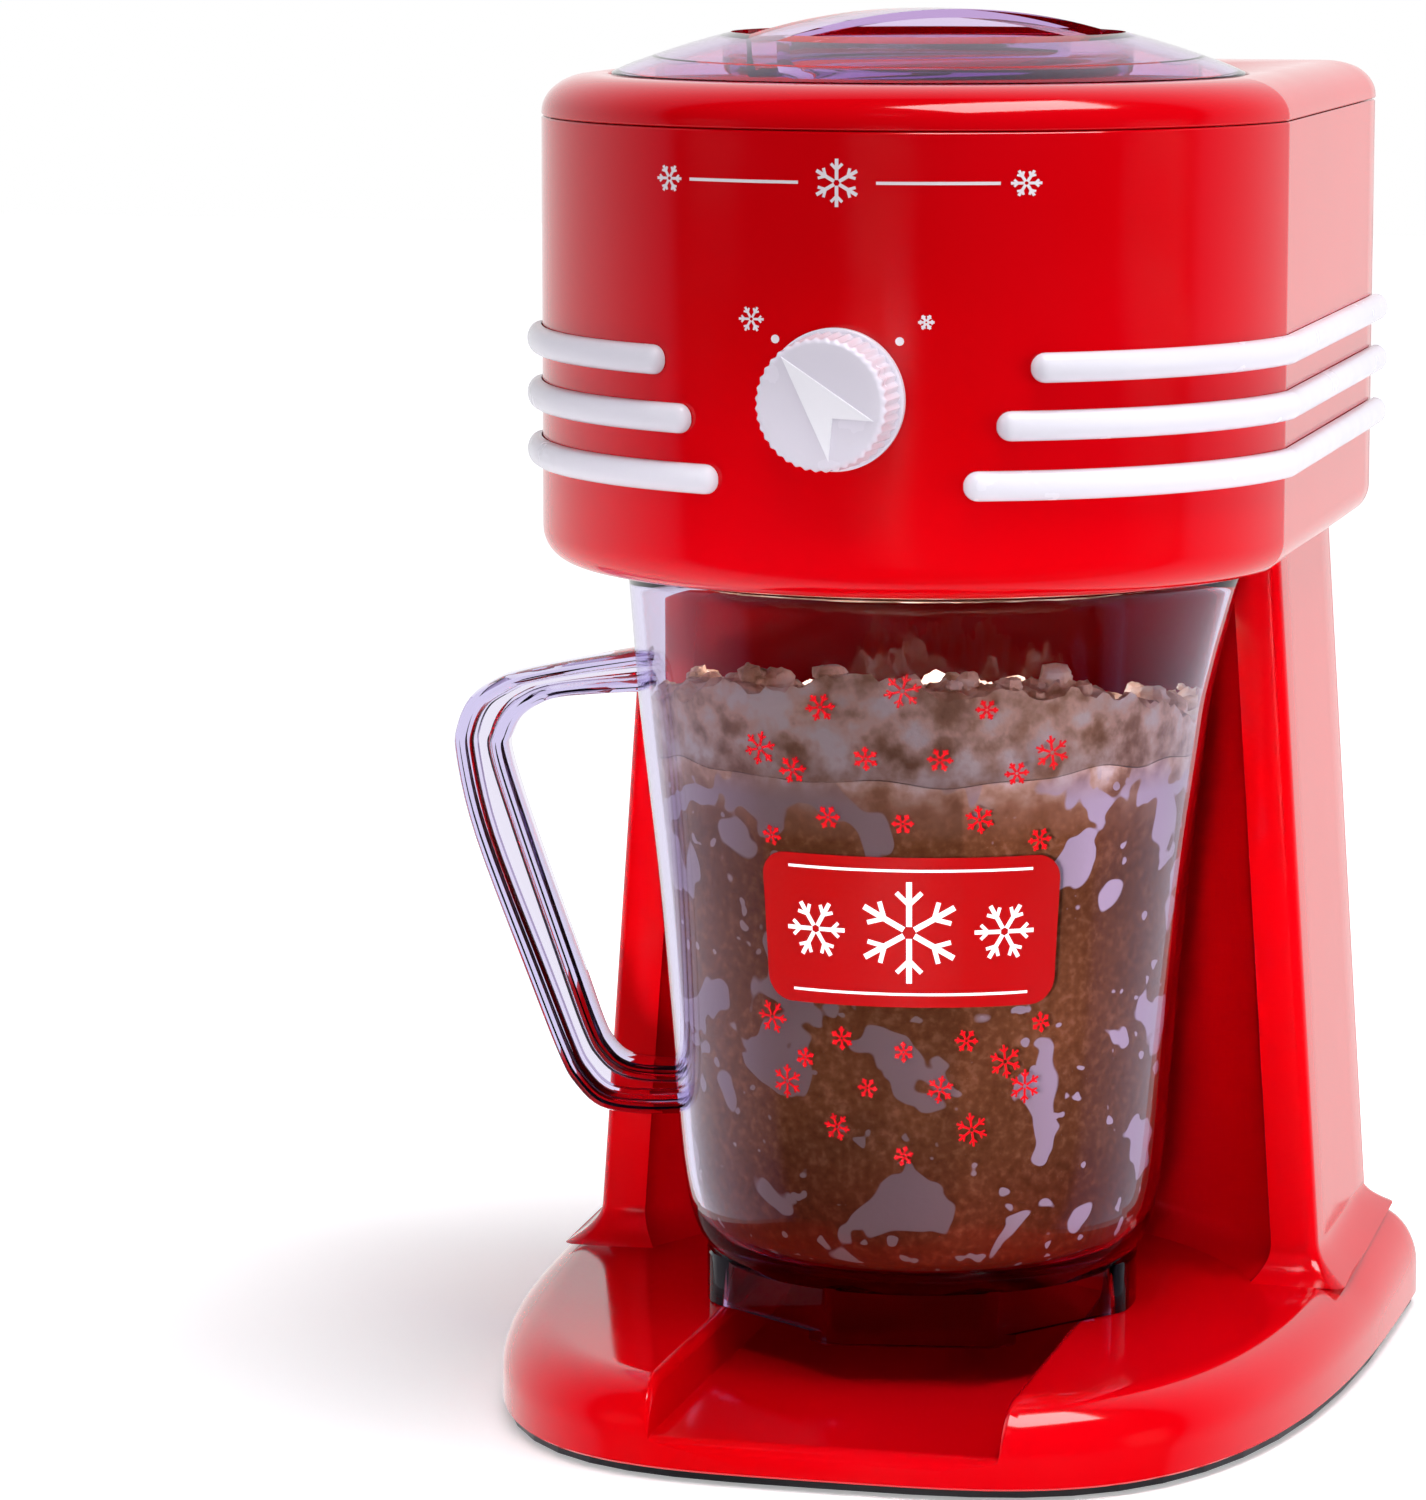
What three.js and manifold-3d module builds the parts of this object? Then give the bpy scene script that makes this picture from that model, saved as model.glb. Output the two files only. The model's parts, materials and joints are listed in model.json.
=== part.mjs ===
// Countertop slush machine: a crushed-ice head on a C-shaped column, a base with a jug channel,
// a clear jug and a clear lid. Millimetres, +Z up, the front faces -Y. While the parts are being
// made, the jug's axis is the Z axis and the table is z = 0; the last lines centre the model.
import * as THREE from 'three';
import { mergeVertices } from 'three/addons/utils/BufferGeometryUtils.js';
import Module from 'manifold-3d';

const wasm = await Module();
wasm.setup();

// ---------------------------------------------------------------- driving dimensions

const GAP = 0.3; // clearance between pieces that touch on the real machine
const WALL = 2.5; // moulded shell thickness

const BASE = {
  halfWidth: 118.8,
  front: -119.7,
  rear: 136.5,
  straightFrom: 163, // centre of the super-ellipse that draws the front and sides
  exponent: 3.54,
  rearCorner: 16,
  bottom: 2.9,
  top: 24.5,
  fillet: 14,
  rearRise: 4.5, // how much higher the deck is at its rear edge
  riseFrom: 45,
};
const CHANNEL = { halfWidth: 46, floor: 11, rear: 62, lip: 6 };
const PLATE = { bottom: 1, top: 2.6, inset: 1.2 };
const FOOT = { radius: 9, top: 4.6, sideFront: 62, sideRear: 92, front: -84, rear: 112 };

const COLUMN = {
  bottom: 24.8,
  top: 226.6,
  front: 40,
  rear: 131.2,
  widthAtZero: 104.7, // half-width extrapolated to the table
  taper: 0.0693, // half-width lost for each millimetre of height
  bayAtZero: 101.5, // radius of the hollow face around the jug, extrapolated to the table
  bayTaper: 0.062,
  lip: 3.5,
  flare: 8,
  flareHeight: 10,
};

const HEAD = {
  bottom: 226.9,
  seam: 344.8,
  capTop: 355.8,
  halfWidth: 100.1,
  front: -104.4,
  frontRadius: 101.7,
  corner: 10,
  rear: 135,
  rearCover: 137.6,
  rearCorner: 4,
  bottomFillet: 9,
  capFilletWidth: 14,
  capFilletHeight: 10,
};
const BARS = { heights: [285.9, 271.4, 256.4], tips: [47.3, 39.4, 31.6], half: 3.8, depth: 3.7, rear: 134 };

const LID = { radius: 84, seat: 354, apex: 372.8, wall: 2.4, skirtRadius: 74, skirtBottom: 345 };
const GRIP = { radius: 52, floor: 357.4, ridgeHalf: 9, turn: 50, pocketWall: 2.4 };

const JUG = {
  sides: 32,
  footBottom: 24.8,
  footTop: 37,
  footRadius: 58.5,
  footFlat: 52,
  plinthBottom: 21.8,
  plinthHalf: 44,
  wall: 3,
  floor: 41,
  rim: 224.5,
  turn: 9.5, // the badge faces this many degrees to the right of the front
  spoutReach: 5,
  spoutFrom: 188,
};
// Outside radius of the jug's body at each height.
const JUG_BODY = [[37, 55.5], [46, 61.8], [66, 65.6], [140, 71.6], [188, 76.9], [206, 78.4], [224.5, 79.8]];

const KNOB = { z: 278, radius: 16.8, skirtRadius: 18, faceY: -122.6, flutes: 32, arrowAngle: 40.9 };
const KNOB_BACK = HEAD.front - GAP;
const SHAFT = { radius: 3, camY: -56, camRadius: 6, camOffset: 1.1 };

const HOPPER = {
  floorTop: 259,
  floorBottom: 256,
  bore: 48,
  wall: 2.2,
  coneFrom: 302,
  mouth: 73.4,
  top: 352,
};
const CHUTE = { radius: 66, wall: 2, top: 255.6 };
const GEARS = {
  slowModule: 1.8,
  driveTeeth: 30,
  smallTeeth: 10,
  fastModule: 5 / 3,
  largeTeeth: 36,
  pinionTeeth: 12,
  slowBottom: 233.2,
  slowTop: 238.8,
  fastBottom: 240.2,
  fastTop: 244.2,
};
const DRIVE_SHAFT_RADIUS = 3.5;
const REDUCTION_Y = (GEARS.slowModule * (GEARS.driveTeeth + GEARS.smallTeeth)) / 2;
const MOTOR_Y = REDUCTION_Y + (GEARS.fastModule * (GEARS.largeTeeth + GEARS.pinionTeeth)) / 2;
const GEARBOX = { bottom: 230, split: 239.6, top: 247.6, wall: 2, driveRadius: 31, motorRadius: 17 };
const MOTOR = { radius: 21, bottom: 249, top: 300, capTop: 304, shaftRadius: 1.6 };
const SWITCH = { x: -66, z: 296, half: 7, rise: 11 };
const INLET = { x: 60, z: 52, radius: 7 };

// ---------------------------------------------------------------- solids and meshes

// A closed solid from any geometry, with its faces turned outwards.
function solidOf(geometry) {
  const bare = new THREE.BufferGeometry();
  bare.setAttribute('position', geometry.attributes.position.clone());
  if (geometry.index) bare.setIndex(geometry.index.clone());
  const merged = mergeVertices(bare, 1e-4);
  const at = merged.attributes.position;
  const order = merged.index.array;
  const triangles = [];
  let volume = 0;
  const a = new THREE.Vector3();
  const b = new THREE.Vector3();
  const c = new THREE.Vector3();
  for (let i = 0; i < order.length; i += 3) {
    const [p, q, r] = [order[i], order[i + 1], order[i + 2]];
    if (p === q || q === r || r === p) continue;
    triangles.push([p, q, r]);
    a.fromBufferAttribute(at, p);
    b.fromBufferAttribute(at, q);
    c.fromBufferAttribute(at, r);
    volume += a.dot(b.cross(c));
  }
  const turned = volume < 0 ? triangles.map(([p, q, r]) => [p, r, q]) : triangles;
  return new wasm.Manifold(new wasm.Mesh({
    numProp: 3,
    vertProperties: new Float32Array(at.array),
    triVerts: new Uint32Array(turned.flat()),
  }));
}

function geometryOf(solid) {
  const mesh = solid.getMesh();
  const geometry = new THREE.BufferGeometry();
  geometry.setAttribute('position', new THREE.BufferAttribute(new Float32Array(mesh.vertProperties), 3));
  geometry.setIndex(new THREE.BufferAttribute(new Uint32Array(mesh.triVerts), 1));
  geometry.computeVertexNormals();
  return geometry;
}

const FINISHES = {
  red: { color: 0xc4000c, roughness: 0.16, metalness: 0 },
  white: { color: 0xf1eef6, roughness: 0.3, metalness: 0 },
  clear: { color: 0xcfc4f0, roughness: 0.08, metalness: 0, transparent: true, opacity: 0.4 },
  dark: { color: 0x3a3a3e, roughness: 0.6, metalness: 0 },
  grey: { color: 0x8c8f96, roughness: 0.5, metalness: 0 },
  natural: { color: 0xe6e2d6, roughness: 0.45, metalness: 0 },
  rubber: { color: 0x202022, roughness: 0.85, metalness: 0 },
  steel: { color: 0xc3c6ca, roughness: 0.25, metalness: 1 },
  brass: { color: 0xc9a45a, roughness: 0.3, metalness: 1 },
};

const machine = new THREE.Group();

function addPart(name, finish, solid) {
  const mesh = new THREE.Mesh(geometryOf(solid), new THREE.MeshStandardMaterial(FINISHES[finish]));
  mesh.name = name;
  machine.add(mesh);
}

// A solid through a stack of outlines with equal counts of points, from the lowest to the highest.
function loft(rings) {
  const count = rings[0].points.length;
  const positions = [];
  for (const ring of rings) {
    for (const p of ring.points) positions.push(p.x, p.y, ring.z);
  }
  const index = [];
  for (let level = 0; level + 1 < rings.length; level += 1) {
    for (let i = 0; i < count; i += 1) {
      const j = (i + 1) % count;
      const low = level * count;
      const high = low + count;
      index.push(low + i, low + j, high + j, low + i, high + j, high + i);
    }
  }
  const last = (rings.length - 1) * count;
  for (const [a, b, c] of THREE.ShapeUtils.triangulateShape(rings[0].points, [])) index.push(a, c, b);
  for (const [a, b, c] of THREE.ShapeUtils.triangulateShape(rings[rings.length - 1].points, [])) {
    index.push(last + a, last + b, last + c);
  }
  const geometry = new THREE.BufferGeometry();
  geometry.setAttribute('position', new THREE.Float32BufferAttribute(positions, 3));
  geometry.setIndex(index);
  return solidOf(geometry);
}

const prism = (points, z0, z1) => loft([{ z: z0, points }, { z: z1, points }]);

function box(x0, x1, y0, y1, z0, z1) {
  const geometry = new THREE.BoxGeometry(x1 - x0, y1 - y0, z1 - z0);
  geometry.translate((x0 + x1) / 2, (y0 + y1) / 2, (z0 + z1) / 2);
  return solidOf(geometry);
}

function cylinder(radius, z0, z1, x = 0, y = 0, sides = 32) {
  const geometry = new THREE.CylinderGeometry(radius, radius, z1 - z0, sides);
  geometry.rotateX(Math.PI / 2);
  geometry.translate(x, y, (z0 + z1) / 2);
  return solidOf(geometry);
}

// A cylinder along Y, for what the knob turns.
function crossCylinder(radius, y0, y1, x, z, sides = 24) {
  const geometry = new THREE.CylinderGeometry(radius, radius, y1 - y0, sides);
  geometry.translate(x, (y0 + y1) / 2, z);
  return solidOf(geometry);
}

const tube = (outer, inner, z0, z1, x = 0, y = 0, sides = 32) => cylinder(outer, z0, z1, x, y, sides)
  .subtract(cylinder(inner, z0 - 1, z1 + 1, x, y, sides));

// A solid of revolution about Z from [radius, z] pairs that start and end on the axis.
function revolve(pairs, sides = 48) {
  const geometry = new THREE.LatheGeometry(pairs.map(([r, z]) => new THREE.Vector2(r, z)), sides);
  geometry.rotateX(Math.PI / 2);
  geometry.applyMatrix4(new THREE.Matrix4().makeScale(1, -1, 1));
  return solidOf(geometry);
}

// Points on an arc; angles in degrees, measured from +X towards +Y.
function arc(cx, cy, radius, from, to, steps) {
  const points = [];
  for (let i = 0; i <= steps; i += 1) {
    const angle = THREE.MathUtils.degToRad(from + ((to - from) * i) / steps);
    points.push(new THREE.Vector2(cx + radius * Math.cos(angle), cy + radius * Math.sin(angle)));
  }
  return points;
}

const mirrored = (points) => points.map((p) => new THREE.Vector2(-p.x, p.y)).reverse();

function spin(solid, degrees) {
  const geometry = geometryOf(solid);
  geometry.rotateZ(THREE.MathUtils.degToRad(degrees));
  return solidOf(geometry);
}

// ---------------------------------------------------------------- base

// Half-width of the base at a distance y from the jug's axis.
function baseHalfWidth(y, inset) {
  const reach = BASE.straightFrom - BASE.front - inset;
  const t = Math.min(Math.max((BASE.straightFrom - y) / reach, 0), 1);
  return (BASE.halfWidth - inset) * (1 - t ** BASE.exponent) ** (1 / BASE.exponent);
}

// Right half of the base's front outline, from the middle of the front edge to the given y.
function baseFrontHalf(inset, toY) {
  const frontY = BASE.front + inset;
  const points = [];
  const steps = 12;
  for (let i = 0; i <= steps; i += 1) {
    const y = frontY + (toY - frontY) * (i / steps) ** 2.6;
    points.push(new THREE.Vector2(i === 0 ? 0 : baseHalfWidth(y, inset), y));
  }
  return points;
}

function baseFrontOutline(inset) {
  const right = baseFrontHalf(inset, BASE.riseFrom);
  return [...mirrored(right.slice(1)), ...right];
}

function baseRearOutline(inset) {
  const radius = Math.max(BASE.rearCorner - inset, 2);
  const side = baseHalfWidth(BASE.rear - BASE.rearCorner, inset);
  const rear = BASE.rear - inset;
  const right = [
    new THREE.Vector2(baseHalfWidth(BASE.riseFrom, inset), BASE.riseFrom),
    ...arc(side - radius, rear - radius, radius, 0, 90, 4),
  ];
  return [...right, ...mirrored(right)];
}

// Heights and insets of the rings that round the base's upper edge.
function baseRings(inset, top) {
  const rings = [{ z: BASE.bottom, inset }];
  const steps = 4;
  const radius = BASE.fillet - inset * 0.5;
  for (let i = 0; i <= steps; i += 1) {
    const angle = (Math.PI / 2) * (i / steps);
    rings.push({
      z: top - radius + radius * Math.sin(angle),
      inset: inset + radius * (1 - Math.cos(angle)),
    });
  }
  return rings;
}

function baseBlock(inset, top) {
  const rings = baseRings(inset, top);
  const front = loft(rings.map(({ z, inset: off }) => ({ z, points: baseFrontOutline(off) })));
  const rear = loft(rings.map(({ z, inset: off }) => ({ z, points: baseRearOutline(off) })));
  const lifted = geometryOf(rear);
  const at = lifted.attributes.position;
  for (let i = 0; i < at.count; i += 1) {
    const height = (at.getZ(i) - BASE.bottom) / (top - BASE.bottom);
    at.setZ(i, at.getZ(i) + deckRise(at.getY(i)) * height);
  }
  return front.add(solidOf(lifted));
}

// How much the deck has risen at a distance y from the jug's axis.
const deckRise = (y) => Math.max(y - BASE.riseFrom, 0) * (BASE.rearRise / (BASE.rear - BASE.riseFrom));

function channelCut() {
  const { halfWidth, floor, rear, lip } = CHANNEL;
  const flat = box(-halfWidth, halfWidth, BASE.front - 5, rear, floor, BASE.top + 10);
  const profile = [new THREE.Vector2(BASE.front - 5, floor - lip)];
  for (let i = 0; i <= 5; i += 1) {
    const angle = (Math.PI / 2) * (i / 5);
    profile.push(new THREE.Vector2(
      BASE.front + lip * (1 - Math.cos(angle)),
      floor - lip + lip * Math.sin(angle),
    ));
  }
  profile.push(new THREE.Vector2(BASE.front + lip, floor + 1));
  profile.push(new THREE.Vector2(BASE.front - 5, floor + 1));
  const shape = new THREE.Shape(profile);
  const rounding = new THREE.ExtrudeGeometry(shape, { depth: 2 * halfWidth, bevelEnabled: false });
  rounding.applyMatrix4(new THREE.Matrix4().set(0, 0, 1, -halfWidth, 1, 0, 0, 0, 0, 1, 0, 0, 0, 0, 0, 1));
  return flat.add(solidOf(rounding));
}

function footPositions() {
  return [
    ['front_left', -FOOT.sideFront, FOOT.front],
    ['front_right', FOOT.sideFront, FOOT.front],
    ['rear_left', -FOOT.sideRear, FOOT.rear],
    ['rear_right', FOOT.sideRear, FOOT.rear],
  ];
}

function baseScrew(x, y) {
  const slot = box(x - 4, x + 4, y - 0.5, y + 0.5, 0, 0.5);
  return cylinder(3.4, 0.1, 0.9, x, y, 10).add(cylinder(1.5, 0.8, 10, x, y, 6)).subtract(slot);
}

const PLATE_SCREWS = [['front', 0, -96], ['left', -104, 40], ['right', 104, 40], ['rear', 0, 124]];

function makeBase() {
  const { halfWidth, floor, rear } = CHANNEL;
  const side = halfWidth + WALL;
  const deck = box(-side, side, BASE.front, rear + WALL, floor - WALL, BASE.top + 9);
  const hollow = baseBlock(WALL, BASE.top - WALL)
    .add(prism([...baseFrontOutline(WALL).slice(1, -1), ...baseRearOutline(WALL)], -1, BASE.bottom + 0.5))
    .subtract(deck);
  let shell = baseBlock(0, BASE.top).subtract(channelCut()).subtract(hollow);
  const duct = box(-30, 30, 104, 124, BASE.top - 6, BASE.top + 12);
  shell = shell.subtract(duct);
  for (const [, x, y] of PLATE_SCREWS) {
    const top = y < 0 ? floor - 0.5 : BASE.top - 1 + deckRise(y);
    const boss = cylinder(4, PLATE.top + GAP, top, x, y, 10);
    shell = shell.add(boss).subtract(cylinder(1.8, 0, PLATE.top + 7.6, x, y, 8));
  }
  addPart('base_shell', 'red', shell);

  let plate = prism(
    [...baseFrontOutline(PLATE.inset), ...baseRearOutline(PLATE.inset).slice(1, -1)],
    PLATE.bottom,
    PLATE.top,
  );
  for (const [, x, y] of footPositions()) {
    plate = plate.subtract(cylinder(FOOT.radius - 2 + GAP, 0, 9, x, y, 12));
  }
  for (const [, x, y] of PLATE_SCREWS) {
    plate = plate.subtract(cylinder(1.8, 0, 9, x, y, 8));
  }
  addPart('base_plate', 'dark', plate);
  for (const [place, x, y] of PLATE_SCREWS) {
    addPart(`base_screw_${place}`, 'steel', baseScrew(x, y));
  }

  for (const [corner, x, y] of footPositions()) {
    const pad = cylinder(FOOT.radius, 0, PLATE.bottom - 0.05, x, y, 12)
      .add(cylinder(FOOT.radius - 2, 0.5, PLATE.top + 0.1, x, y, 12))
      .add(cylinder(FOOT.radius, PLATE.top + 0.1, FOOT.top, x, y, 12));
    addPart(`foot_${corner}`, 'rubber', pad);
  }
}
makeBase();

// ---------------------------------------------------------------- column

const columnHalfWidth = (z) => COLUMN.widthAtZero - COLUMN.taper * z;
const bayRadius = (z) => COLUMN.bayAtZero - COLUMN.bayTaper * z;

// Outline of the column at height z: flat sides and back, a rounded lip each side of the bay.
function columnOutline(z, inset, flare, rear) {
  const half = columnHalfWidth(z) - inset + flare;
  const bay = bayRadius(z) + inset - flare;
  const lip = COLUMN.lip;
  const front = COLUMN.front + inset - flare;
  const lipX = half - lip;
  const bayY = front + lip;
  const bayX = Math.sqrt(bay * bay - bayY * bayY);
  const edge = Math.min(bayX, lipX - 0.4);
  const corner = 6;
  const right = [
    new THREE.Vector2(edge, front + lip * 0.35),
    new THREE.Vector2((edge + lipX) / 2, front),
    ...arc(lipX, front + lip, lip, -90, 0, 3),
    ...arc(half - corner, rear - corner, corner, 0, 90, 3),
  ];
  const sweep = THREE.MathUtils.radToDeg(Math.atan2(bayY, bayX));
  const hollow = arc(0, 0, bay, 180 - sweep, sweep, 16);
  return [...right, ...mirrored(right), ...hollow];
}

function makeColumn() {
  const { bottom, top, flare, flareHeight, rear } = COLUMN;
  const rings = [];
  for (const t of [0, 0.15, 0.35, 0.65, 1]) {
    const z = bottom + flareHeight * t;
    rings.push({ z, points: columnOutline(z, 0, flare * (1 - t) ** 2.2, rear) });
  }
  rings.push({ z: top, points: columnOutline(top, 0, 0, rear) });
  const inner = [bottom - 1, top + 1].map((z) => ({ z, points: columnOutline(z, WALL, 0, rear + 12) }));
  const wedge = [
    new THREE.Vector2(0, 0),
    new THREE.Vector2(BASE.riseFrom, 0),
    new THREE.Vector2(rear + 20, deckRise(rear + 20)),
    new THREE.Vector2(rear + 20, -5),
    new THREE.Vector2(0, -5),
  ];
  const under = new THREE.ExtrudeGeometry(new THREE.Shape(wedge), { depth: 260, bevelEnabled: false });
  under.applyMatrix4(new THREE.Matrix4().set(0, 0, 1, -130, 1, 0, 0, 0, 0, 1, 0, bottom, 0, 0, 0, 1));
  const shell = loft(rings).subtract(loft(inner)).subtract(solidOf(under));
  addPart('column_shell', 'red', shell);
}
makeColumn();

// A screw along Y with its head at the rear face, for the back covers.
function coverScrew(name, x, y, z) {
  const slot = box(x - 3, x + 3, y - 0.7, y + 1, z - 0.5, z + 0.5);
  addPart(name, 'steel', crossCylinder(3, y - 1.3, y, x, z, 10)
    .add(crossCylinder(1.4, y - 8, y - 1.2, x, z, 6))
    .subtract(slot));
}

function makeColumnCover() {
  const y0 = COLUMN.rear + GAP;
  const y1 = y0 + WALL;
  const low = BASE.top + deckRise(COLUMN.rear) + 0.6;
  const halfAt = (z) => columnHalfWidth(z) - 1;
  const outline = [
    new THREE.Vector2(-halfAt(low), low),
    new THREE.Vector2(halfAt(low), low),
    new THREE.Vector2(halfAt(COLUMN.top), COLUMN.top),
    new THREE.Vector2(-halfAt(COLUMN.top), COLUMN.top),
  ];
  const sheet = new THREE.ExtrudeGeometry(new THREE.Shape(outline), { depth: WALL, bevelEnabled: false });
  sheet.applyMatrix4(new THREE.Matrix4().set(1, 0, 0, 0, 0, 0, 1, y0, 0, 1, 0, 0, 0, 0, 0, 1));
  let cover = solidOf(sheet);
  const screws = [[-82, 40], [82, 40], [-76, 214], [76, 214]];
  for (const [x, z] of screws) {
    cover = cover.add(crossCylinder(5, y0 - 9, y0 + 0.5, x, z, 8))
      .subtract(crossCylinder(3.5, y1 - 1.4, y1 + 1, x, z, 10))
      .subtract(crossCylinder(1.9, y0 - 12, y1 + 1, x, z, 6));
  }
  for (let row = 0; row < 4; row += 1) {
    const z = 150 + row * 9;
    cover = cover.subtract(box(-30, 30, y0 - 1, y1 + 1, z, z + 3));
  }
  cover = cover.subtract(crossCylinder(INLET.radius + GAP, y0 - 1, y1 + 1, INLET.x, INLET.z, 20));
  addPart('column_back_cover', 'red', cover);
  screws.forEach(([x, z], i) => coverScrew(`column_cover_screw_${i + 1}`, x, y1, z));
  addPart('cord_inlet', 'rubber', crossCylinder(INLET.radius + 2, y1 + GAP, y1 + 3, INLET.x, INLET.z, 20)
    .add(crossCylinder(INLET.radius, y0 - 4, y1 + 1, INLET.x, INLET.z, 20))
    .subtract(crossCylinder(3.6, y0 - 6, y1 + 5, INLET.x, INLET.z, 16)));
}
makeColumnCover();

// ---------------------------------------------------------------- head

// Right half of the head's outline, from the middle of the front to the rear edge: a front arc, a
// rounded corner, and a flat side.
function headHalf(inset, rear, rearCorner) {
  const half = HEAD.halfWidth - inset;
  const radius = HEAD.frontRadius - inset;
  const centre = HEAD.front + HEAD.frontRadius;
  const corner = Math.max(HEAD.corner - inset, 0.8);
  const cornerX = half - corner;
  const cornerY = centre - Math.sqrt((radius - corner) ** 2 - cornerX ** 2);
  const turn = THREE.MathUtils.radToDeg(Math.atan2(cornerX, centre - cornerY));
  const rearRound = Math.max(rearCorner - inset, 0.8);
  return [
    ...arc(0, centre, radius, -90, turn - 90, 9),
    ...arc(cornerX, cornerY, corner, turn - 90, 0, 3).slice(1),
    ...arc(half - rearRound, rear - inset - rearRound, rearRound, 0, 90, 2),
  ];
}

function headOutline(inset, rear = HEAD.rear, rearCorner = HEAD.rearCorner) {
  const right = headHalf(inset, rear, rearCorner);
  return [...mirrored(right.slice(1)), ...right];
}

function headRings(inset, bottom, top, rear) {
  const rings = [];
  const radius = HEAD.bottomFillet;
  for (let i = 0; i <= 3; i += 1) {
    const angle = (Math.PI / 2) * (i / 3);
    const off = radius * (1 - Math.sin(angle));
    rings.push({ z: bottom + radius * (1 - Math.cos(angle)), points: headOutline(inset + off, rear) });
  }
  rings.push({ z: top, points: headOutline(inset, rear) });
  return rings;
}

function makeHead() {
  const { bottom, seam, rear, rearCover } = HEAD;
  const inside = loft(headRings(WALL, bottom + WALL, seam + 5, rear + 30));
  const shell = loft(headRings(0, bottom, seam - GAP / 2, rear)).subtract(inside)
    .subtract(box(-120, 120, rear - 0.5, rear + 40, 0, 400))
    .subtract(cylinder(CHUTE.radius + CHUTE.wall + GAP, 0, 300, 0, 0, 32))
    .subtract(box(-34, 34, 40, 100, 0, GEARBOX.bottom + 0.01))
    .subtract(box(-60, 60, 108, rear - 6, 0, bottom + WALL + 1))
    .subtract(crossCylinder(SHAFT.radius + 2.2, HEAD.front - 5, HEAD.front + 10, 0, KNOB.z, 20));
  addPart('head_shell', 'red', shell);

  // The back cover closes the open rear of the shell and carries the switch.
  const half = HEAD.halfWidth - 1;
  const rim = HEAD.bottomFillet;
  const outline = new THREE.Shape([
    ...arc(half - rim, bottom + 1 + rim, rim, -90, 0, 4),
    new THREE.Vector2(half, seam - 1),
    new THREE.Vector2(-half, seam - 1),
    ...arc(-half + rim, bottom + 1 + rim, rim, 180, 270, 4),
  ]);
  const depth = rearCover - rear - 0.2;
  const panel = new THREE.ExtrudeGeometry(outline, { depth, bevelEnabled: false });
  panel.applyMatrix4(new THREE.Matrix4().set(1, 0, 0, 0, 0, 0, 1, rear - 0.2, 0, 1, 0, 0, 0, 0, 0, 1));
  let cover = solidOf(panel);
  const screws = [[-90, 246], [90, 246], [-90, 334], [90, 334]];
  for (const [x, z] of screws) {
    cover = cover.add(crossCylinder(4.6, rear - 8, rear, x, z, 8))
      .subtract(crossCylinder(3.5, rearCover - 1.6, rearCover + 1, x, z, 10))
      .subtract(crossCylinder(1.9, rear - 12, rearCover + 1, x, z, 6));
  }
  for (let row = 0; row < 4; row += 1) {
    const z = 272 + row * 9;
    cover = cover.subtract(box(-36, 36, rear - 2, rearCover + 1, z, z + 3));
  }
  const { x: switchX, z: switchZ, half: switchHalf, rise } = SWITCH;
  cover = cover.subtract(box(
    switchX - switchHalf - GAP, switchX + switchHalf + GAP,
    rear - 3, rear + 9,
    switchZ - rise - GAP, switchZ + rise + GAP,
  ));
  addPart('head_back_cover', 'red', cover);
  screws.forEach(([x, z], i) => coverScrew(`head_cover_screw_${i + 1}`, x, rearCover - 0.3, z));
}
makeHead();

// A shallow tray with a rounded rim that closes the head's top and seats the lid.
function makeCap() {
  const { seam, capTop, capFilletWidth, capFilletHeight, rearCover } = HEAD;
  const capOutline = (inset) => headOutline(inset, rearCover - 0.2, 6);
  const rings = [{ z: seam + GAP / 2, points: capOutline(0) }];
  const start = capTop - capFilletHeight;
  for (let i = 0; i <= 3; i += 1) {
    const angle = (Math.PI / 2) * (i / 3);
    const off = capFilletWidth * (1 - Math.cos(angle));
    rings.push({ z: start + capFilletHeight * Math.sin(angle), points: capOutline(off) });
  }
  const inner = [seam - 2, capTop - 7].map((z) => ({ z, points: capOutline(4) }));
  inner.push({ z: capTop - WALL, points: capOutline(capFilletWidth) });
  const seat = cylinder(LID.radius + 0.6, LID.seat - 0.4, capTop + 5, 0, 0, 48);
  const collar = cylinder(82, seam + 2, capTop - 1, 0, 0, 32);
  addPart('head_top_cap', 'red', loft(rings).subtract(loft(inner)).add(collar).subtract(seat)
    .subtract(cylinder(79, 349.4, 400, 0, 0, 32))
    .subtract(cylinder(76.2, 300, 400, 0, 0, 32)));
}
makeCap();

// ---------------------------------------------------------------- trim bars

// The right-hand path of a bar along the head's side, from its tip to the rear edge.
function barPath(tip) {
  const half = headHalf(-GAP, BARS.rear + 12, HEAD.rearCorner)
    .filter((p) => p.x > tip && p.y < BARS.rear - 2);
  const radius = HEAD.frontRadius + GAP;
  const start = new THREE.Vector2(tip, HEAD.front + HEAD.frontRadius - Math.sqrt(radius ** 2 - tip ** 2));
  return [start, ...half, new THREE.Vector2(HEAD.halfWidth + GAP, BARS.rear)];
}

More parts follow.
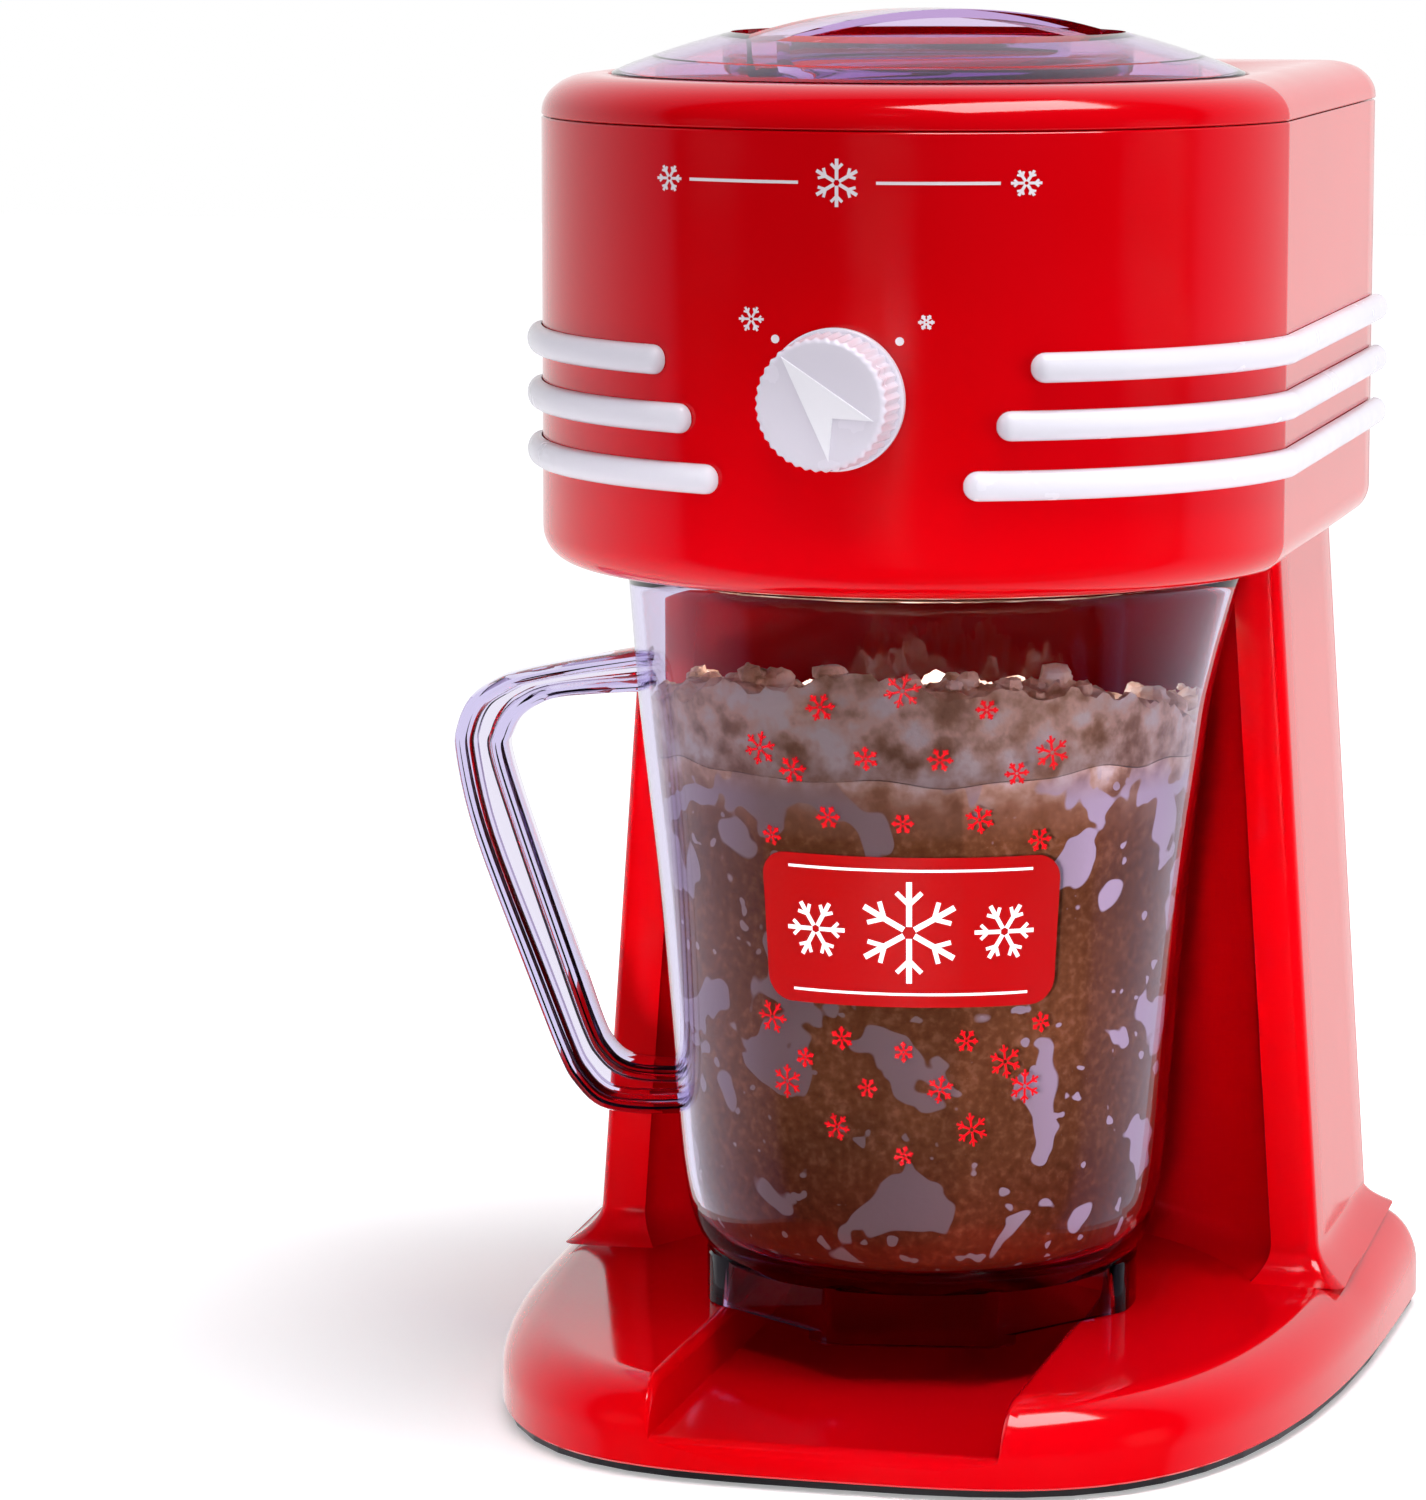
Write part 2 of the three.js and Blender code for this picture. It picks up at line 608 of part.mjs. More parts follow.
// A half-round bar swept along its path; the first stretch swells from nothing to form the round tip.
function barSolid(tip, z, side) {
  const path = barPath(tip);
  const first = path[0];
  const along = path[1].clone().sub(first).normalize();
  const stations = [0.06, 0.3, 1].map((t) => ({
    at: first.clone().addScaledVector(along, BARS.half * t),
    size: Math.sqrt(1 - (1 - t) ** 2),
  }));
  for (const p of path.slice(1)) {
    if (p.distanceTo(first) > BARS.half * 1.5) stations.push({ at: p, size: 1 });
  }
  const rings = stations.map(({ at, size }, i) => {
    const before = stations[Math.max(i - 1, 0)].at;
    const after = stations[Math.min(i + 1, stations.length - 1)].at;
    const way = after.clone().sub(before).normalize();
    const out = new THREE.Vector2(way.y, -way.x);
    const ring = [];
    for (let k = 0; k <= 5; k += 1) {
      const angle = -Math.PI / 2 + (Math.PI * k) / 5;
      const reach = BARS.depth * size * Math.cos(angle);
      ring.push([at.x + out.x * reach, at.y + out.y * reach, z + BARS.half * size * Math.sin(angle)]);
    }
    return ring;
  });
  const count = rings[0].length;
  const index = [];
  for (let level = 0; level + 1 < rings.length; level += 1) {
    for (let i = 0; i < count; i += 1) {
      const j = (i + 1) % count;
      const low = level * count;
      index.push(low + i, low + j, low + count + j, low + i, low + count + j, low + count + i);
    }
  }
  const last = (rings.length - 1) * count;
  for (let i = 1; i + 1 < count; i += 1) {
    index.push(0, i + 1, i, last, last + i, last + i + 1);
  }
  const geometry = new THREE.BufferGeometry();
  const points = rings.flat().map(([x, y, h]) => [side * x, y, h]);
  geometry.setAttribute('position', new THREE.Float32BufferAttribute(points.flat(), 3));
  geometry.setIndex(index);
  return solidOf(geometry);
}

BARS.heights.forEach((z, row) => {
  const level = ['upper', 'middle', 'lower'][row];
  addPart(`trim_bar_${level}_left`, 'white', barSolid(BARS.tips[row], z, -1));
  addPart(`trim_bar_${level}_right`, 'white', barSolid(BARS.tips[row], z, 1));
});

// ---------------------------------------------------------------- knob and blade adjuster

// An outline of the knob's rim, with shallow flutes, in its own flat plane.
function flutedOutline(radius) {
  const points = [];
  for (let i = 0; i < KNOB.flutes * 2; i += 1) {
    const angle = (Math.PI * i) / KNOB.flutes;
    const r = i % 2 ? radius : radius - 0.5;
    points.push(new THREE.Vector2(r * Math.cos(angle), r * Math.sin(angle)));
  }
  return points;
}

// Turns a solid built along +Z from the knob's mounting plane into place, facing the front.
function faceForward(solid) {
  const geometry = geometryOf(solid);
  geometry.rotateX(Math.PI / 2);
  geometry.translate(0, KNOB_BACK, KNOB.z);
  return solidOf(geometry);
}

function makeKnob() {
  const depth = KNOB_BACK - KNOB.faceY;
  const body = loft([
    { z: 0, points: flutedOutline(KNOB.skirtRadius) },
    { z: depth - 1.6, points: flutedOutline(KNOB.radius) },
    { z: depth - 0.5, points: flutedOutline(KNOB.radius - 1.6) },
  ]);
  // The raised pointer is a swallow-tailed wedge that reaches from edge to edge of the face.
  const pointer = [[0, 15.4], [7.9, -11.9], [0, -4.6], [-7.9, -11.9]];
  const turn = THREE.MathUtils.degToRad(KNOB.arrowAngle);
  const outline = pointer.map(([x, y]) => new THREE.Vector2(
    x * Math.cos(turn) - y * Math.sin(turn),
    x * Math.sin(turn) + y * Math.cos(turn),
  )).reverse();
  const hollow = cylinder(KNOB.radius - 2.5, -1, depth - 4, 0, 0, 20)
    .subtract(cylinder(5.5, -2, depth, 0, 0, 16));
  const bore = cylinder(SHAFT.radius + GAP, -1, depth - 5.5, 0, 0, 12);
  const knob = body.add(prism(outline, depth - 1, depth + 0.5)).subtract(hollow).subtract(bore);
  addPart('texture_knob', 'white', faceForward(knob));

  const frontEnd = KNOB_BACK - (depth - 6);
  const offset = SHAFT.camOffset;
  const cam = crossCylinder(SHAFT.camRadius, SHAFT.camY, SHAFT.camY + 4, 0, KNOB.z + offset, 24);
  const spindle = crossCylinder(SHAFT.radius, frontEnd, SHAFT.camY + 4, 0, KNOB.z, 16);
  addPart('adjuster_shaft', 'steel', spindle.add(cam));
  const bushFront = HEAD.front + WALL + 2.5 * GAP;
  addPart('adjuster_bush', 'natural', crossCylinder(8, bushFront, bushFront + 2, 0, KNOB.z, 20)
    .add(crossCylinder(5, HEAD.front + 0.6, bushFront + 10, 0, KNOB.z, 20))
    .subtract(crossCylinder(SHAFT.radius + GAP, HEAD.front - 2, bushFront + 12, 0, KNOB.z, 16)));
}
makeKnob();

function makeBladeCarrier() {
  const top = HOPPER.floorTop - 1.2;
  const cam = KNOB.z - SHAFT.camRadius + SHAFT.camOffset;
  const followerTop = cam - 0.6;
  const bed = box(-6.7, 6.7, -44, -14, 251.5, top - 1.6)
    .add(box(-6.7, 6.7, -56, -43.9, 251.5, 254.5))
    .add(box(-6.7, 6.7, -56, -52.6, 251.5, followerTop - 2))
    .add(box(-6.7, 6.7, -58, -51.8, followerTop - 2.1, followerTop));
  addPart('blade_carrier', 'natural', bed.subtract(box(-1.6, 9, -42, -16, 249, 255)));
  const edge = new THREE.Shape([
    new THREE.Vector2(-6.2, top - 1.3),
    new THREE.Vector2(6.2, top - 1.3),
    new THREE.Vector2(6.2, top - 0.5),
    new THREE.Vector2(-4.6, top - 0.3),
  ]);
  const strip = new THREE.ExtrudeGeometry(edge, { depth: 26, bevelEnabled: false });
  strip.applyMatrix4(new THREE.Matrix4().set(1, 0, 0, 0, 0, 0, 1, -42, 0, 1, 0, 0, 0, 0, 0, 1));
  addPart('shaving_blade', 'steel', solidOf(strip));
}
makeBladeCarrier();

// ---------------------------------------------------------------- ice hopper and chute

function makeHopper() {
  const { floorTop, floorBottom, bore, wall, coneFrom, mouth, top } = HOPPER;
  const flange = mouth + wall + 2.4;
  const outer = revolve([
    [0, floorTop + GAP],
    [bore + wall, floorTop + GAP],
    [bore + wall, coneFrom],
    [mouth + wall, top - 7],
    [mouth + wall, top - 2],
    [flange, top - 2],
    [flange, top - GAP],
    [0, top - GAP],
  ], 32);
  const inner = revolve([
    [0, floorBottom - 6],
    [bore, floorBottom - 6],
    [bore, coneFrom + 0.8],
    [mouth, top - 6.2],
    [mouth, top + 5],
    [0, top + 5],
  ], 32);
  addPart('ice_hopper', 'red', outer.subtract(inner));

  const slot = box(-7, 7, -44.4, -13.6, 200, 300);
  const floor = cylinder(bore + wall, floorBottom, floorTop, 0, 0, 32)
    .add(cylinder(8, floorBottom - 3.4, floorBottom + 0.5, 0, 0, 16))
    .subtract(cylinder(5.4, 200, 300, 0, 0, 16))
    .subtract(slot);
  addPart('hopper_floor', 'steel', floor);
}

function gearboxOutline(grow) {
  const drive = GEARBOX.driveRadius + grow;
  const wide = GEARS.fastModule * GEARS.largeTeeth * 0.5 + 4 + grow;
  const motor = GEARBOX.motorRadius + grow;
  const right = [
    ...arc(0, 0, drive, -90, 0, 7),
    ...arc(0, REDUCTION_Y, wide, -10, 40, 3),
    ...arc(0, MOTOR_Y, motor, 20, 90, 4),
  ];
  return [...right, ...mirrored(right).slice(1)];
}

function makeChute() {
  const { radius, wall, top } = CHUTE;
  const bottom = HEAD.bottom + 0.4;
  const flangeBottom = HEAD.bottom + WALL + GAP;
  const ring = tube(radius + wall, radius, bottom, top, 0, 0, 32)
    .add(tube(radius + 6, radius, flangeBottom, flangeBottom + 2, 0, 0, 32))
    .subtract(prism(gearboxOutline(0.6), bottom - 1, GEARBOX.top + 0.6))
    .subtract(box(-20, 20, 40, 100, GEARBOX.top - 1, top + 1))
    .subtract(box(-22, 22, 50, 100, bottom - 1, top + 1));
  addPart('ice_chute', 'natural', ring);
}

makeHopper();
makeChute();

// ---------------------------------------------------------------- gearbox

function gearOutline(teeth, module, phase) {
  const pitch = (teeth * module) / 2;
  const root = pitch - 1.2 * module;
  const tip = pitch + 0.85 * module;
  const step = 360 / teeth;
  const points = [];
  for (let i = 0; i < teeth; i += 1) {
    const middle = phase + i * step;
    for (const [share, radius] of [[-0.3, root], [-0.105, tip], [0.105, tip], [0.3, root]]) {
      const angle = THREE.MathUtils.degToRad(middle + share * step);
      points.push(new THREE.Vector2(radius * Math.cos(angle), radius * Math.sin(angle)));
    }
  }
  return points;
}

const moved = (points, y) => points.map((p) => new THREE.Vector2(p.x, p.y + y));

function makeGears() {
  const g = GEARS;
  const drive = prism(gearOutline(g.driveTeeth, g.slowModule, 90), g.slowBottom, g.slowTop)
    .subtract(tube(19, 8, g.slowTop - 2, g.slowTop + 1, 0, 0, 16))
    .subtract(cylinder(DRIVE_SHAFT_RADIUS + 0.05, 0, 400, 0, 0, 16));
  addPart('drive_gear', 'natural', drive);

  const small = moved(gearOutline(g.smallTeeth, g.slowModule, -90 + 180 / g.smallTeeth), REDUCTION_Y);
  const large = moved(gearOutline(g.largeTeeth, g.fastModule, 90), REDUCTION_Y);
  const reduction = prism(small, g.slowBottom + 0.4, g.fastBottom + 0.1)
    .add(prism(large, g.fastBottom, g.fastTop))
    .subtract(cylinder(2.3, 0, 400, 0, REDUCTION_Y, 12));
  addPart('reduction_gear', 'natural', reduction);

  const pinion = moved(gearOutline(g.pinionTeeth, g.fastModule, -90 + 180 / g.pinionTeeth), MOTOR_Y);
  addPart('motor_pinion', 'brass', prism(pinion, g.fastBottom - 0.2, g.fastTop + 0.4)
    .subtract(cylinder(MOTOR.shaftRadius + 0.05, 0, 400, 0, MOTOR_Y, 12)));

  const pin = cylinder(2, GEARBOX.bottom + 0.4, GEARBOX.top - 0.4, 0, REDUCTION_Y, 12);
  addPart('reduction_pin', 'steel', pin);
}

function makeGearbox() {
  const { bottom, split, top, wall } = GEARBOX;
  const pinHole = cylinder(2.2, 0, 400, 0, REDUCTION_Y, 12);
  const bearingHole = cylinder(7 + 0.15, 0, 400, 0, 0, 20);
  const tray = prism(gearboxOutline(0), bottom, split)
    .subtract(prism(gearboxOutline(-wall), bottom + wall, split + 1))
    .subtract(pinHole)
    .subtract(bearingHole);
  addPart('gearbox_tray', 'grey', tray);
  const motorHole = cylinder(6, 0, 400, 0, MOTOR_Y, 12);
  const cover = prism(gearboxOutline(0), split + GAP, top)
    .subtract(prism(gearboxOutline(-wall), split - 1, top - wall))
    .subtract(pinHole)
    .subtract(bearingHole)
    .subtract(motorHole);
  addPart('gearbox_cover', 'grey', cover);
}

// The upright shaft runs in two plain bearings and carries the ice paddle at its top.
function makeDriveLine() {
  const r = DRIVE_SHAFT_RADIUS;
  const { bottom, top } = GEARBOX;
  const runningBore = cylinder(r + 0.08, 0, 400, 0, 0, 16);
  const bearing = (z0, z1) => cylinder(7, z0, z1, 0, 0, 20).subtract(runningBore);
  addPart('shaft_bearing_lower', 'brass', bearing(bottom + 0.2, bottom + 2.7));
  addPart('shaft_bearing_upper', 'brass', bearing(top - 1.9, top + 1.4));
  addPart('drive_shaft', 'steel', cylinder(r, bottom + 0.3, 272, 0, 0, 16)
    .subtract(box(2.6, 9, -9, 9, 262, 280)));
  const hub = cylinder(9, 260.4, 275, 0, 0, 20).add(cylinder(5, 274.9, 281, 0, 0, 16));
  let paddle = hub;
  for (let i = 0; i < 3; i += 1) {
    const arm = box(5, 46, -2, 2, 260.4, 268).add(box(30, 46, -2, 2, 267.9, 274));
    paddle = paddle.add(spin(arm, 30 + i * 120));
  }
  const socket = cylinder(r + 0.06, 250, 272.4, 0, 0, 16).subtract(box(2.66, 9, -9, 9, 262, 280));
  addPart('ice_paddle', 'natural', paddle.subtract(socket));
}

makeGears();
makeGearbox();
makeDriveLine();

// ---------------------------------------------------------------- motor

function makeMotor() {
  const { radius, bottom, top, capTop, shaftRadius } = MOTOR;
  const can = cylinder(radius, bottom, top, 0, MOTOR_Y, 24)
    .subtract(cylinder(radius - 1.5, bottom + 1.5, top + 1, 0, MOTOR_Y, 24))
    .subtract(cylinder(4, bottom - 1, bottom + 3, 0, MOTOR_Y, 12));
  addPart('motor_can', 'steel', can);
  let cap = cylinder(radius, top + GAP, capTop, 0, MOTOR_Y, 24)
    .add(cylinder(radius - 2, top - 4, top + 1, 0, MOTOR_Y, 24))
    .subtract(cylinder(radius - 4, top - 6, top + 1, 0, MOTOR_Y, 20))
    .subtract(cylinder(3, top - 6, capTop + 1, 0, MOTOR_Y, 12));
  for (const side of [-1, 1]) {
    cap = cap.add(box(side * 12 - 1, side * 12 + 1, MOTOR_Y - 3, MOTOR_Y + 3, capTop - 0.5, capTop + 6));
  }
  addPart('motor_end_cap', 'dark', cap);
  for (const [name, side] of [['left', -1], ['right', 1]]) {
    const magnet = tube(radius - 2, radius - 6, bottom + 8, top - 6, 0, MOTOR_Y, 24)
      .intersect(box(side > 0 ? 4 : -30, side > 0 ? 30 : -4, MOTOR_Y - 16, MOTOR_Y + 16, bottom, top));
    addPart(`motor_magnet_${name}`, 'dark', magnet);
  }
  addPart('motor_rotor', 'steel', cylinder(radius - 7.5, bottom + 9, top - 9, 0, MOTOR_Y, 16)
    .add(cylinder(shaftRadius, GEARS.fastBottom - 0.2, capTop + 6, 0, MOTOR_Y, 12)));
  let fan = cylinder(5, capTop + 1.4, capTop + 5, 0, MOTOR_Y, 16);
  for (let i = 0; i < 6; i += 1) {
    const blade = geometryOf(box(4, 10, -0.8, 0.8, capTop + 1.4, capTop + 5));
    blade.rotateZ((Math.PI / 3) * i);
    blade.translate(0, MOTOR_Y, 0);
    fan = fan.add(solidOf(blade));
  }
  addPart('motor_fan', 'dark', fan.subtract(cylinder(shaftRadius + 0.05, 0, 400, 0, MOTOR_Y, 12)));
}
makeMotor();

// ---------------------------------------------------------------- power switch

function makeSwitch() {
  const { x, z, half, rise } = SWITCH;
  const y1 = HEAD.rearCover;
  const frame = box(x - half - 2, x + half + 2, y1 + GAP, y1 + 1.6, z - rise - 2, z + rise + 2)
    .add(box(x - half, x + half, y1 - 14, y1 + 1, z - rise, z + rise))
    .subtract(box(x - half + 1.6, x + half - 1.6, y1 - 7, y1 + 5, z - rise + 1.6, z + rise - 1.6));
  addPart('switch_body', 'dark', frame);
  const side = new THREE.Shape([
    new THREE.Vector2(y1 - 5, z - rise + 2.4),
    new THREE.Vector2(y1 + 1.2, z - rise + 2.4),
    new THREE.Vector2(y1 + 1.6, z),
    new THREE.Vector2(y1 + 3.6, z + rise - 3),
    new THREE.Vector2(y1 - 3, z + rise - 3),
  ]);
  const width = 2 * (half - 2);
  const rocker = new THREE.ExtrudeGeometry(side, { depth: width, bevelEnabled: false });
  rocker.applyMatrix4(new THREE.Matrix4().set(0, 0, 1, x - width / 2, 1, 0, 0, 0, 0, 1, 0, 0, 0, 0, 0, 1));
  addPart('switch_rocker', 'white', solidOf(rocker));
}
makeSwitch();

// ---------------------------------------------------------------- lid

// Height of the lid's dome, or of its hollow side, at a distance r from the axis.
function domeHeight(r, thickness) {
  const rise = LID.apex - LID.seat - 2.2;
  const radius = (LID.radius ** 2 + rise ** 2) / (2 * rise);
  return LID.apex - radius + Math.sqrt(radius ** 2 - r ** 2) - thickness;
}

function domeSolid(thickness, edge, foot) {
  const pairs = [[0, foot], [edge, foot]];
  for (let i = 0; i <= 5; i += 1) {
    const r = edge * (1 - i / 5);
    pairs.push([Math.max(r, 0), domeHeight(r, thickness)]);
  }
  return revolve(pairs, 40);
}

// One of the two D-shaped finger pockets beside the ridge, grown by a wall where it is the liner.
function pocket(side, grow) {
  const { radius, floor, ridgeHalf } = GRIP;
  const near = ridgeHalf - grow;
  const reach = radius + grow;
  const sweep = THREE.MathUtils.radToDeg(Math.asin(near / reach));
  const outline = arc(0, 0, reach, sweep, 180 - sweep, 12);
  const solid = prism(outline, floor - grow, LID.apex + 5);
  return spin(solid, GRIP.turn + (side > 0 ? 0 : 180));
}

function makeLid() {
  const { radius, seat, wall, skirtRadius, skirtBottom } = LID;
  let outer = domeSolid(0, radius, seat);
  let inner = domeSolid(wall, radius - wall, seat - 1);
  for (const side of [-1, 1]) {
    outer = outer.subtract(pocket(side, 0));
    inner = inner.subtract(pocket(side, GRIP.pocketWall));
  }
  const skirt = tube(skirtRadius - 1.6, skirtRadius - 3.6, skirtBottom, seat + 4.5, 0, 0, 32);
  addPart('lid', 'clear', outer.subtract(inner).add(skirt));
}
makeLid();

// ---------------------------------------------------------------- jug

function bodyRadius(z) {
  const upper = JUG_BODY.findIndex(([height]) => height >= z);
  if (upper <= 0) return JUG_BODY[Math.max(upper, 0)][1];
  const [z0, r0] = JUG_BODY[upper - 1];
  const [z1, r1] = JUG_BODY[upper];
  return r0 + ((r1 - r0) * (z - z0)) / (z1 - z0);
}

// A horizontal outline of the jug with the pouring lip drawn out towards +X.
function jugOutline(z, inset) {
  const lift = Math.max((z - JUG.spoutFrom) / (JUG.rim - JUG.spoutFrom), 0);
  const points = [];
  for (let i = 0; i < JUG.sides; i += 1) {
    const angle = (2 * Math.PI * i) / JUG.sides;
    const toward = Math.max(Math.cos(angle), 0) ** 14;
    const r = bodyRadius(z) - inset + JUG.spoutReach * toward * lift ** 1.3;
    points.push(new THREE.Vector2(r * Math.cos(angle), r * Math.sin(angle)));
  }
  return points;
}

// The handle lies in the XZ plane on the -X side: [distance from the axis, height] outlines.
function handleShape(grow) {
  const g = grow;
  const shape = new THREE.Shape();
  shape.moveTo(60, 204 - g);
  shape.lineTo(110, 194.6 - g);
  shape.quadraticCurveTo(131 - g, 190 - g, 126.6 - g, 171.5);
  shape.lineTo(98.4 - g, 88.5);
  shape.quadraticCurveTo(93 - g, 74 + g, 80, 74 + g);
  shape.lineTo(55, 74 + g);
  shape.lineTo(55, 88.2 - g);
  shape.lineTo(74, 88.2 - g);
  shape.quadraticCurveTo(83.9 + g * 0.3, 88.2 - g, 88.2 + g, 101);
  shape.lineTo(112 + g, 172);
  shape.quadraticCurveTo(116.5 + g, 186.5 + g, 101, 188 + g);
  shape.lineTo(60, 191.5 + g);
  return shape;
}

function handleSolid() {
  const slab = (grow, y0, y1) => {
    const geometry = new THREE.ExtrudeGeometry(handleShape(grow), {
      depth: y1 - y0, bevelEnabled: false, curveSegments: 4,
    });
    geometry.applyMatrix4(new THREE.Matrix4().set(-1, 0, 0, 0, 0, 0, 1, y0, 0, 1, 0, 0, 0, 0, 0, 1));
    return solidOf(geometry);
  };
  return slab(0, -7, 7).subtract(slab(2.8, -9, -2)).subtract(slab(2.8, 2, 9));
}

function makeJug() {
  const { footBottom, footTop, footRadius, footFlat, plinthBottom, plinthHalf, wall, floor, rim } = JUG;
  const levels = JUG_BODY.map(([z]) => z);
  const outside = loft(levels.map((z) => ({ z, points: jugOutline(z, 0) })));
  const heights = [floor, ...levels.filter((z) => z > floor && z < rim), rim + 2];
  const thickness = (z) => wall + Math.max(46 - z, 0) * 0.4;
  const inside = loft(heights.map((z) => ({ z, points: jugOutline(Math.min(z, rim), thickness(z)) })));
  const flange = cylinder(footRadius, footBottom, footTop + 0.5, 0, 0, 24)
    .subtract(box(-80, 80, -80, -footFlat, 0, 60))
    .subtract(cylinder(footRadius - 6, footBottom - 1, footTop - 2.5, 0, 0, 24)
      .subtract(box(-80, 80, -80, -footFlat + 5, 0, 60)));
  const plinth = box(-plinthHalf, plinthHalf, -footFlat, -footFlat + 5, plinthBottom, footBottom + 1)
    .intersect(cylinder(footRadius - 1, 0, 60, 0, 0, 24));
  const body = outside.add(handleSolid()).subtract(inside).add(flange).add(plinth);
  addPart('jug', 'clear', spin(body, JUG.turn));
}
makeJug();

// The model's origin is on the table under the middle of its overall box.
machine.position.set(3.9, -9.05, 0);
export default machine;
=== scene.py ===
"""Looks for the countertop slush machine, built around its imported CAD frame.

Shapes are written in millimetres about the jug's axis, as in the part's own source, and placed()
turns them into metres in the frame's coordinates.
"""
import json
import math
import random

import bpy
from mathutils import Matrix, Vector, noise


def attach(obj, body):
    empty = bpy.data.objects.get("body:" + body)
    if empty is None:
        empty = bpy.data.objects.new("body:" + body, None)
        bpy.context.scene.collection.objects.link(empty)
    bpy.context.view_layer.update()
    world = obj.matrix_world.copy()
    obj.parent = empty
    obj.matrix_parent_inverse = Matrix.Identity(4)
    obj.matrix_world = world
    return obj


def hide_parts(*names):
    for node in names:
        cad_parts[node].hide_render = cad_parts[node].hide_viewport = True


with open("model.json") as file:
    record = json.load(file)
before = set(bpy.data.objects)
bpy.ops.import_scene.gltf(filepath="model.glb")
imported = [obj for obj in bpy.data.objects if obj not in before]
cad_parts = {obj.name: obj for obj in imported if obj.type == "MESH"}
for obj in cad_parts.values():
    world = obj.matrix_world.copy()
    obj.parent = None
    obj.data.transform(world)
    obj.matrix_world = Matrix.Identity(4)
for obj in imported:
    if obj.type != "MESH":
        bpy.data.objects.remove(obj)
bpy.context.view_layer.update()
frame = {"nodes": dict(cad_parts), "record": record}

AXIS_X, AXIS_Y = 3.9, -9.05  # where the jug's axis stands in the frame, mm
MM = 0.001


def placed(point):
    return ((point[0] + AXIS_X) * MM, (point[1] + AXIS_Y) * MM, point[2] * MM)


# ---------------- camera

CAMERA_AT = (347.9, -1569.4, 412.9)
CAMERA_PITCH, CAMERA_YAW = 8.45, 14.53  # degrees below the horizon, and round from straight ahead
CAMERA_LENS, SENSOR = 144.7, 36


def make_camera():
    data = bpy.data.cameras.new("camera")
    data.sensor_width = SENSOR
    data.lens = CAMERA_LENS
    data.clip_end = 60
    camera = bpy.data.objects.new("camera", data)
    bpy.context.collection.objects.link(camera)
    camera.location = placed(CAMERA_AT)
    camera.rotation_euler = (math.radians(90 - CAMERA_PITCH), 0, math.radians(CAMERA_YAW))
    bpy.context.scene.camera = camera


make_camera()

# ---------------- mesh helpers


def new_object(name, verts, faces, sharp=35):
    mesh = bpy.data.meshes.new(name)
    mesh.from_pydata([placed(v) for v in verts], [], faces)
    mesh.validate()
    mesh.update()
    obj = bpy.data.objects.new(name, mesh)
    bpy.context.collection.objects.link(obj)
    smooth(obj, sharp)
    return obj


def smooth(obj, sharp=35):
    for poly in obj.data.polygons:
        poly.use_smooth = True
    obj.data.set_sharp_from_angle(angle=math.radians(sharp))


def finish_mesh(obj):
    """Replaces an object's mesh by its evaluated one and removes its modifiers."""
    graph = bpy.context.evaluated_depsgraph_get()
    mesh = bpy.data.meshes.new_from_object(obj.evaluated_get(graph))
    obj.modifiers.clear()
    obj.data = mesh


def combine(target, other, operation, sharp=35):
    modifier = target.modifiers.new("cut", "BOOLEAN")
    modifier.operation = operation
    modifier.solver = "EXACT"
    modifier.object = other
    finish_mesh(target)
    bpy.data.objects.remove(other)
    smooth(target, sharp)
    return target


def loft(rings, wrap=False, caps=True):
    """Vertices and faces of a skin through rings of equal length; wrap joins the last ring to the first."""
    count = len(rings[0])
    verts = [v for ring in rings for v in ring]
    faces = []
    levels = len(rings) if wrap else len(rings) - 1
    for level in range(levels):
        low = level * count
        high = ((level + 1) % len(rings)) * count
        for i in range(count):
            j = (i + 1) % count
            faces.append((low + i, low + j, high + j, high + i))
    if caps and not wrap:
        faces.append(tuple(reversed(range(count))))
        top = (len(rings) - 1) * count
        faces.append(tuple(range(top, top + count)))
    return verts, faces


def at_height(points, z):
    return [(x, y, z) for x, y in points]


def polar(radius, degrees):
    return radius * math.cos(math.radians(degrees)), radius * math.sin(math.radians(degrees))


def arc(cx, cy, radius, start, end, steps):
    points = [polar(radius, start + (end - start) * i / steps) for i in range(steps + 1)]
    return [(cx + x, cy + y) for x, y in points]


def mirrored(points):
    return [(-x, y) for x, y in reversed(points)]


def lathe(profile, sides, turn=0):
    """Closed skin of revolution through (radius, z) pairs, with points on the axis as single poles."""
    verts, rows = [], []
    for radius, z in profile:
        if radius < 1e-6:
            rows.append([len(verts)])
            verts.append((0, 0, z))
            continue
        row = []
        for i in range(sides):
            angle = 2 * math.pi * i / sides + turn
            row.append(len(verts))
            verts.append((radius * math.cos(angle), radius * math.sin(angle), z))
        rows.append(row)
    faces = []
    for low, high in zip(rows, rows[1:]):
        for i in range(sides):
            j = (i + 1) % sides
            if len(low) == 1 and len(high) == 1:
                continue
            if len(low) == 1:
                faces.append((low[0], high[j], high[i]))
            elif len(high) == 1:
                faces.append((low[i], low[j], high[0]))
            else:
                faces.append((low[i], low[j], high[j], high[i]))
    return verts, faces


def dress(obj, body, slot, material, *nodes):
    """Gives a piece its body and material and hides the CAD nodes that it stands for; slot is not used."""
    obj.data.materials.clear()
    obj.data.materials.append(material)
    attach(obj, body)
    if nodes:
        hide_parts(*nodes)
    return obj


# ---------------- materials


def new_material(name):
    material = bpy.data.materials.new(name)
    material.use_nodes = True
    nodes = material.node_tree.nodes
    return material, nodes, nodes["Principled BSDF"]


def feed(node, values):
    """Fills a node's inputs: another node's output is linked, anything else is set as a plain value."""
    for name, value in values.items():
        if isinstance(value, bpy.types.NodeSocket):
            node.id_data.links.new(value, node.inputs[name])
        else:
            node.inputs[name].default_value = value


def object_place(nodes):
    return nodes.new("ShaderNodeTexCoord").outputs["Object"]


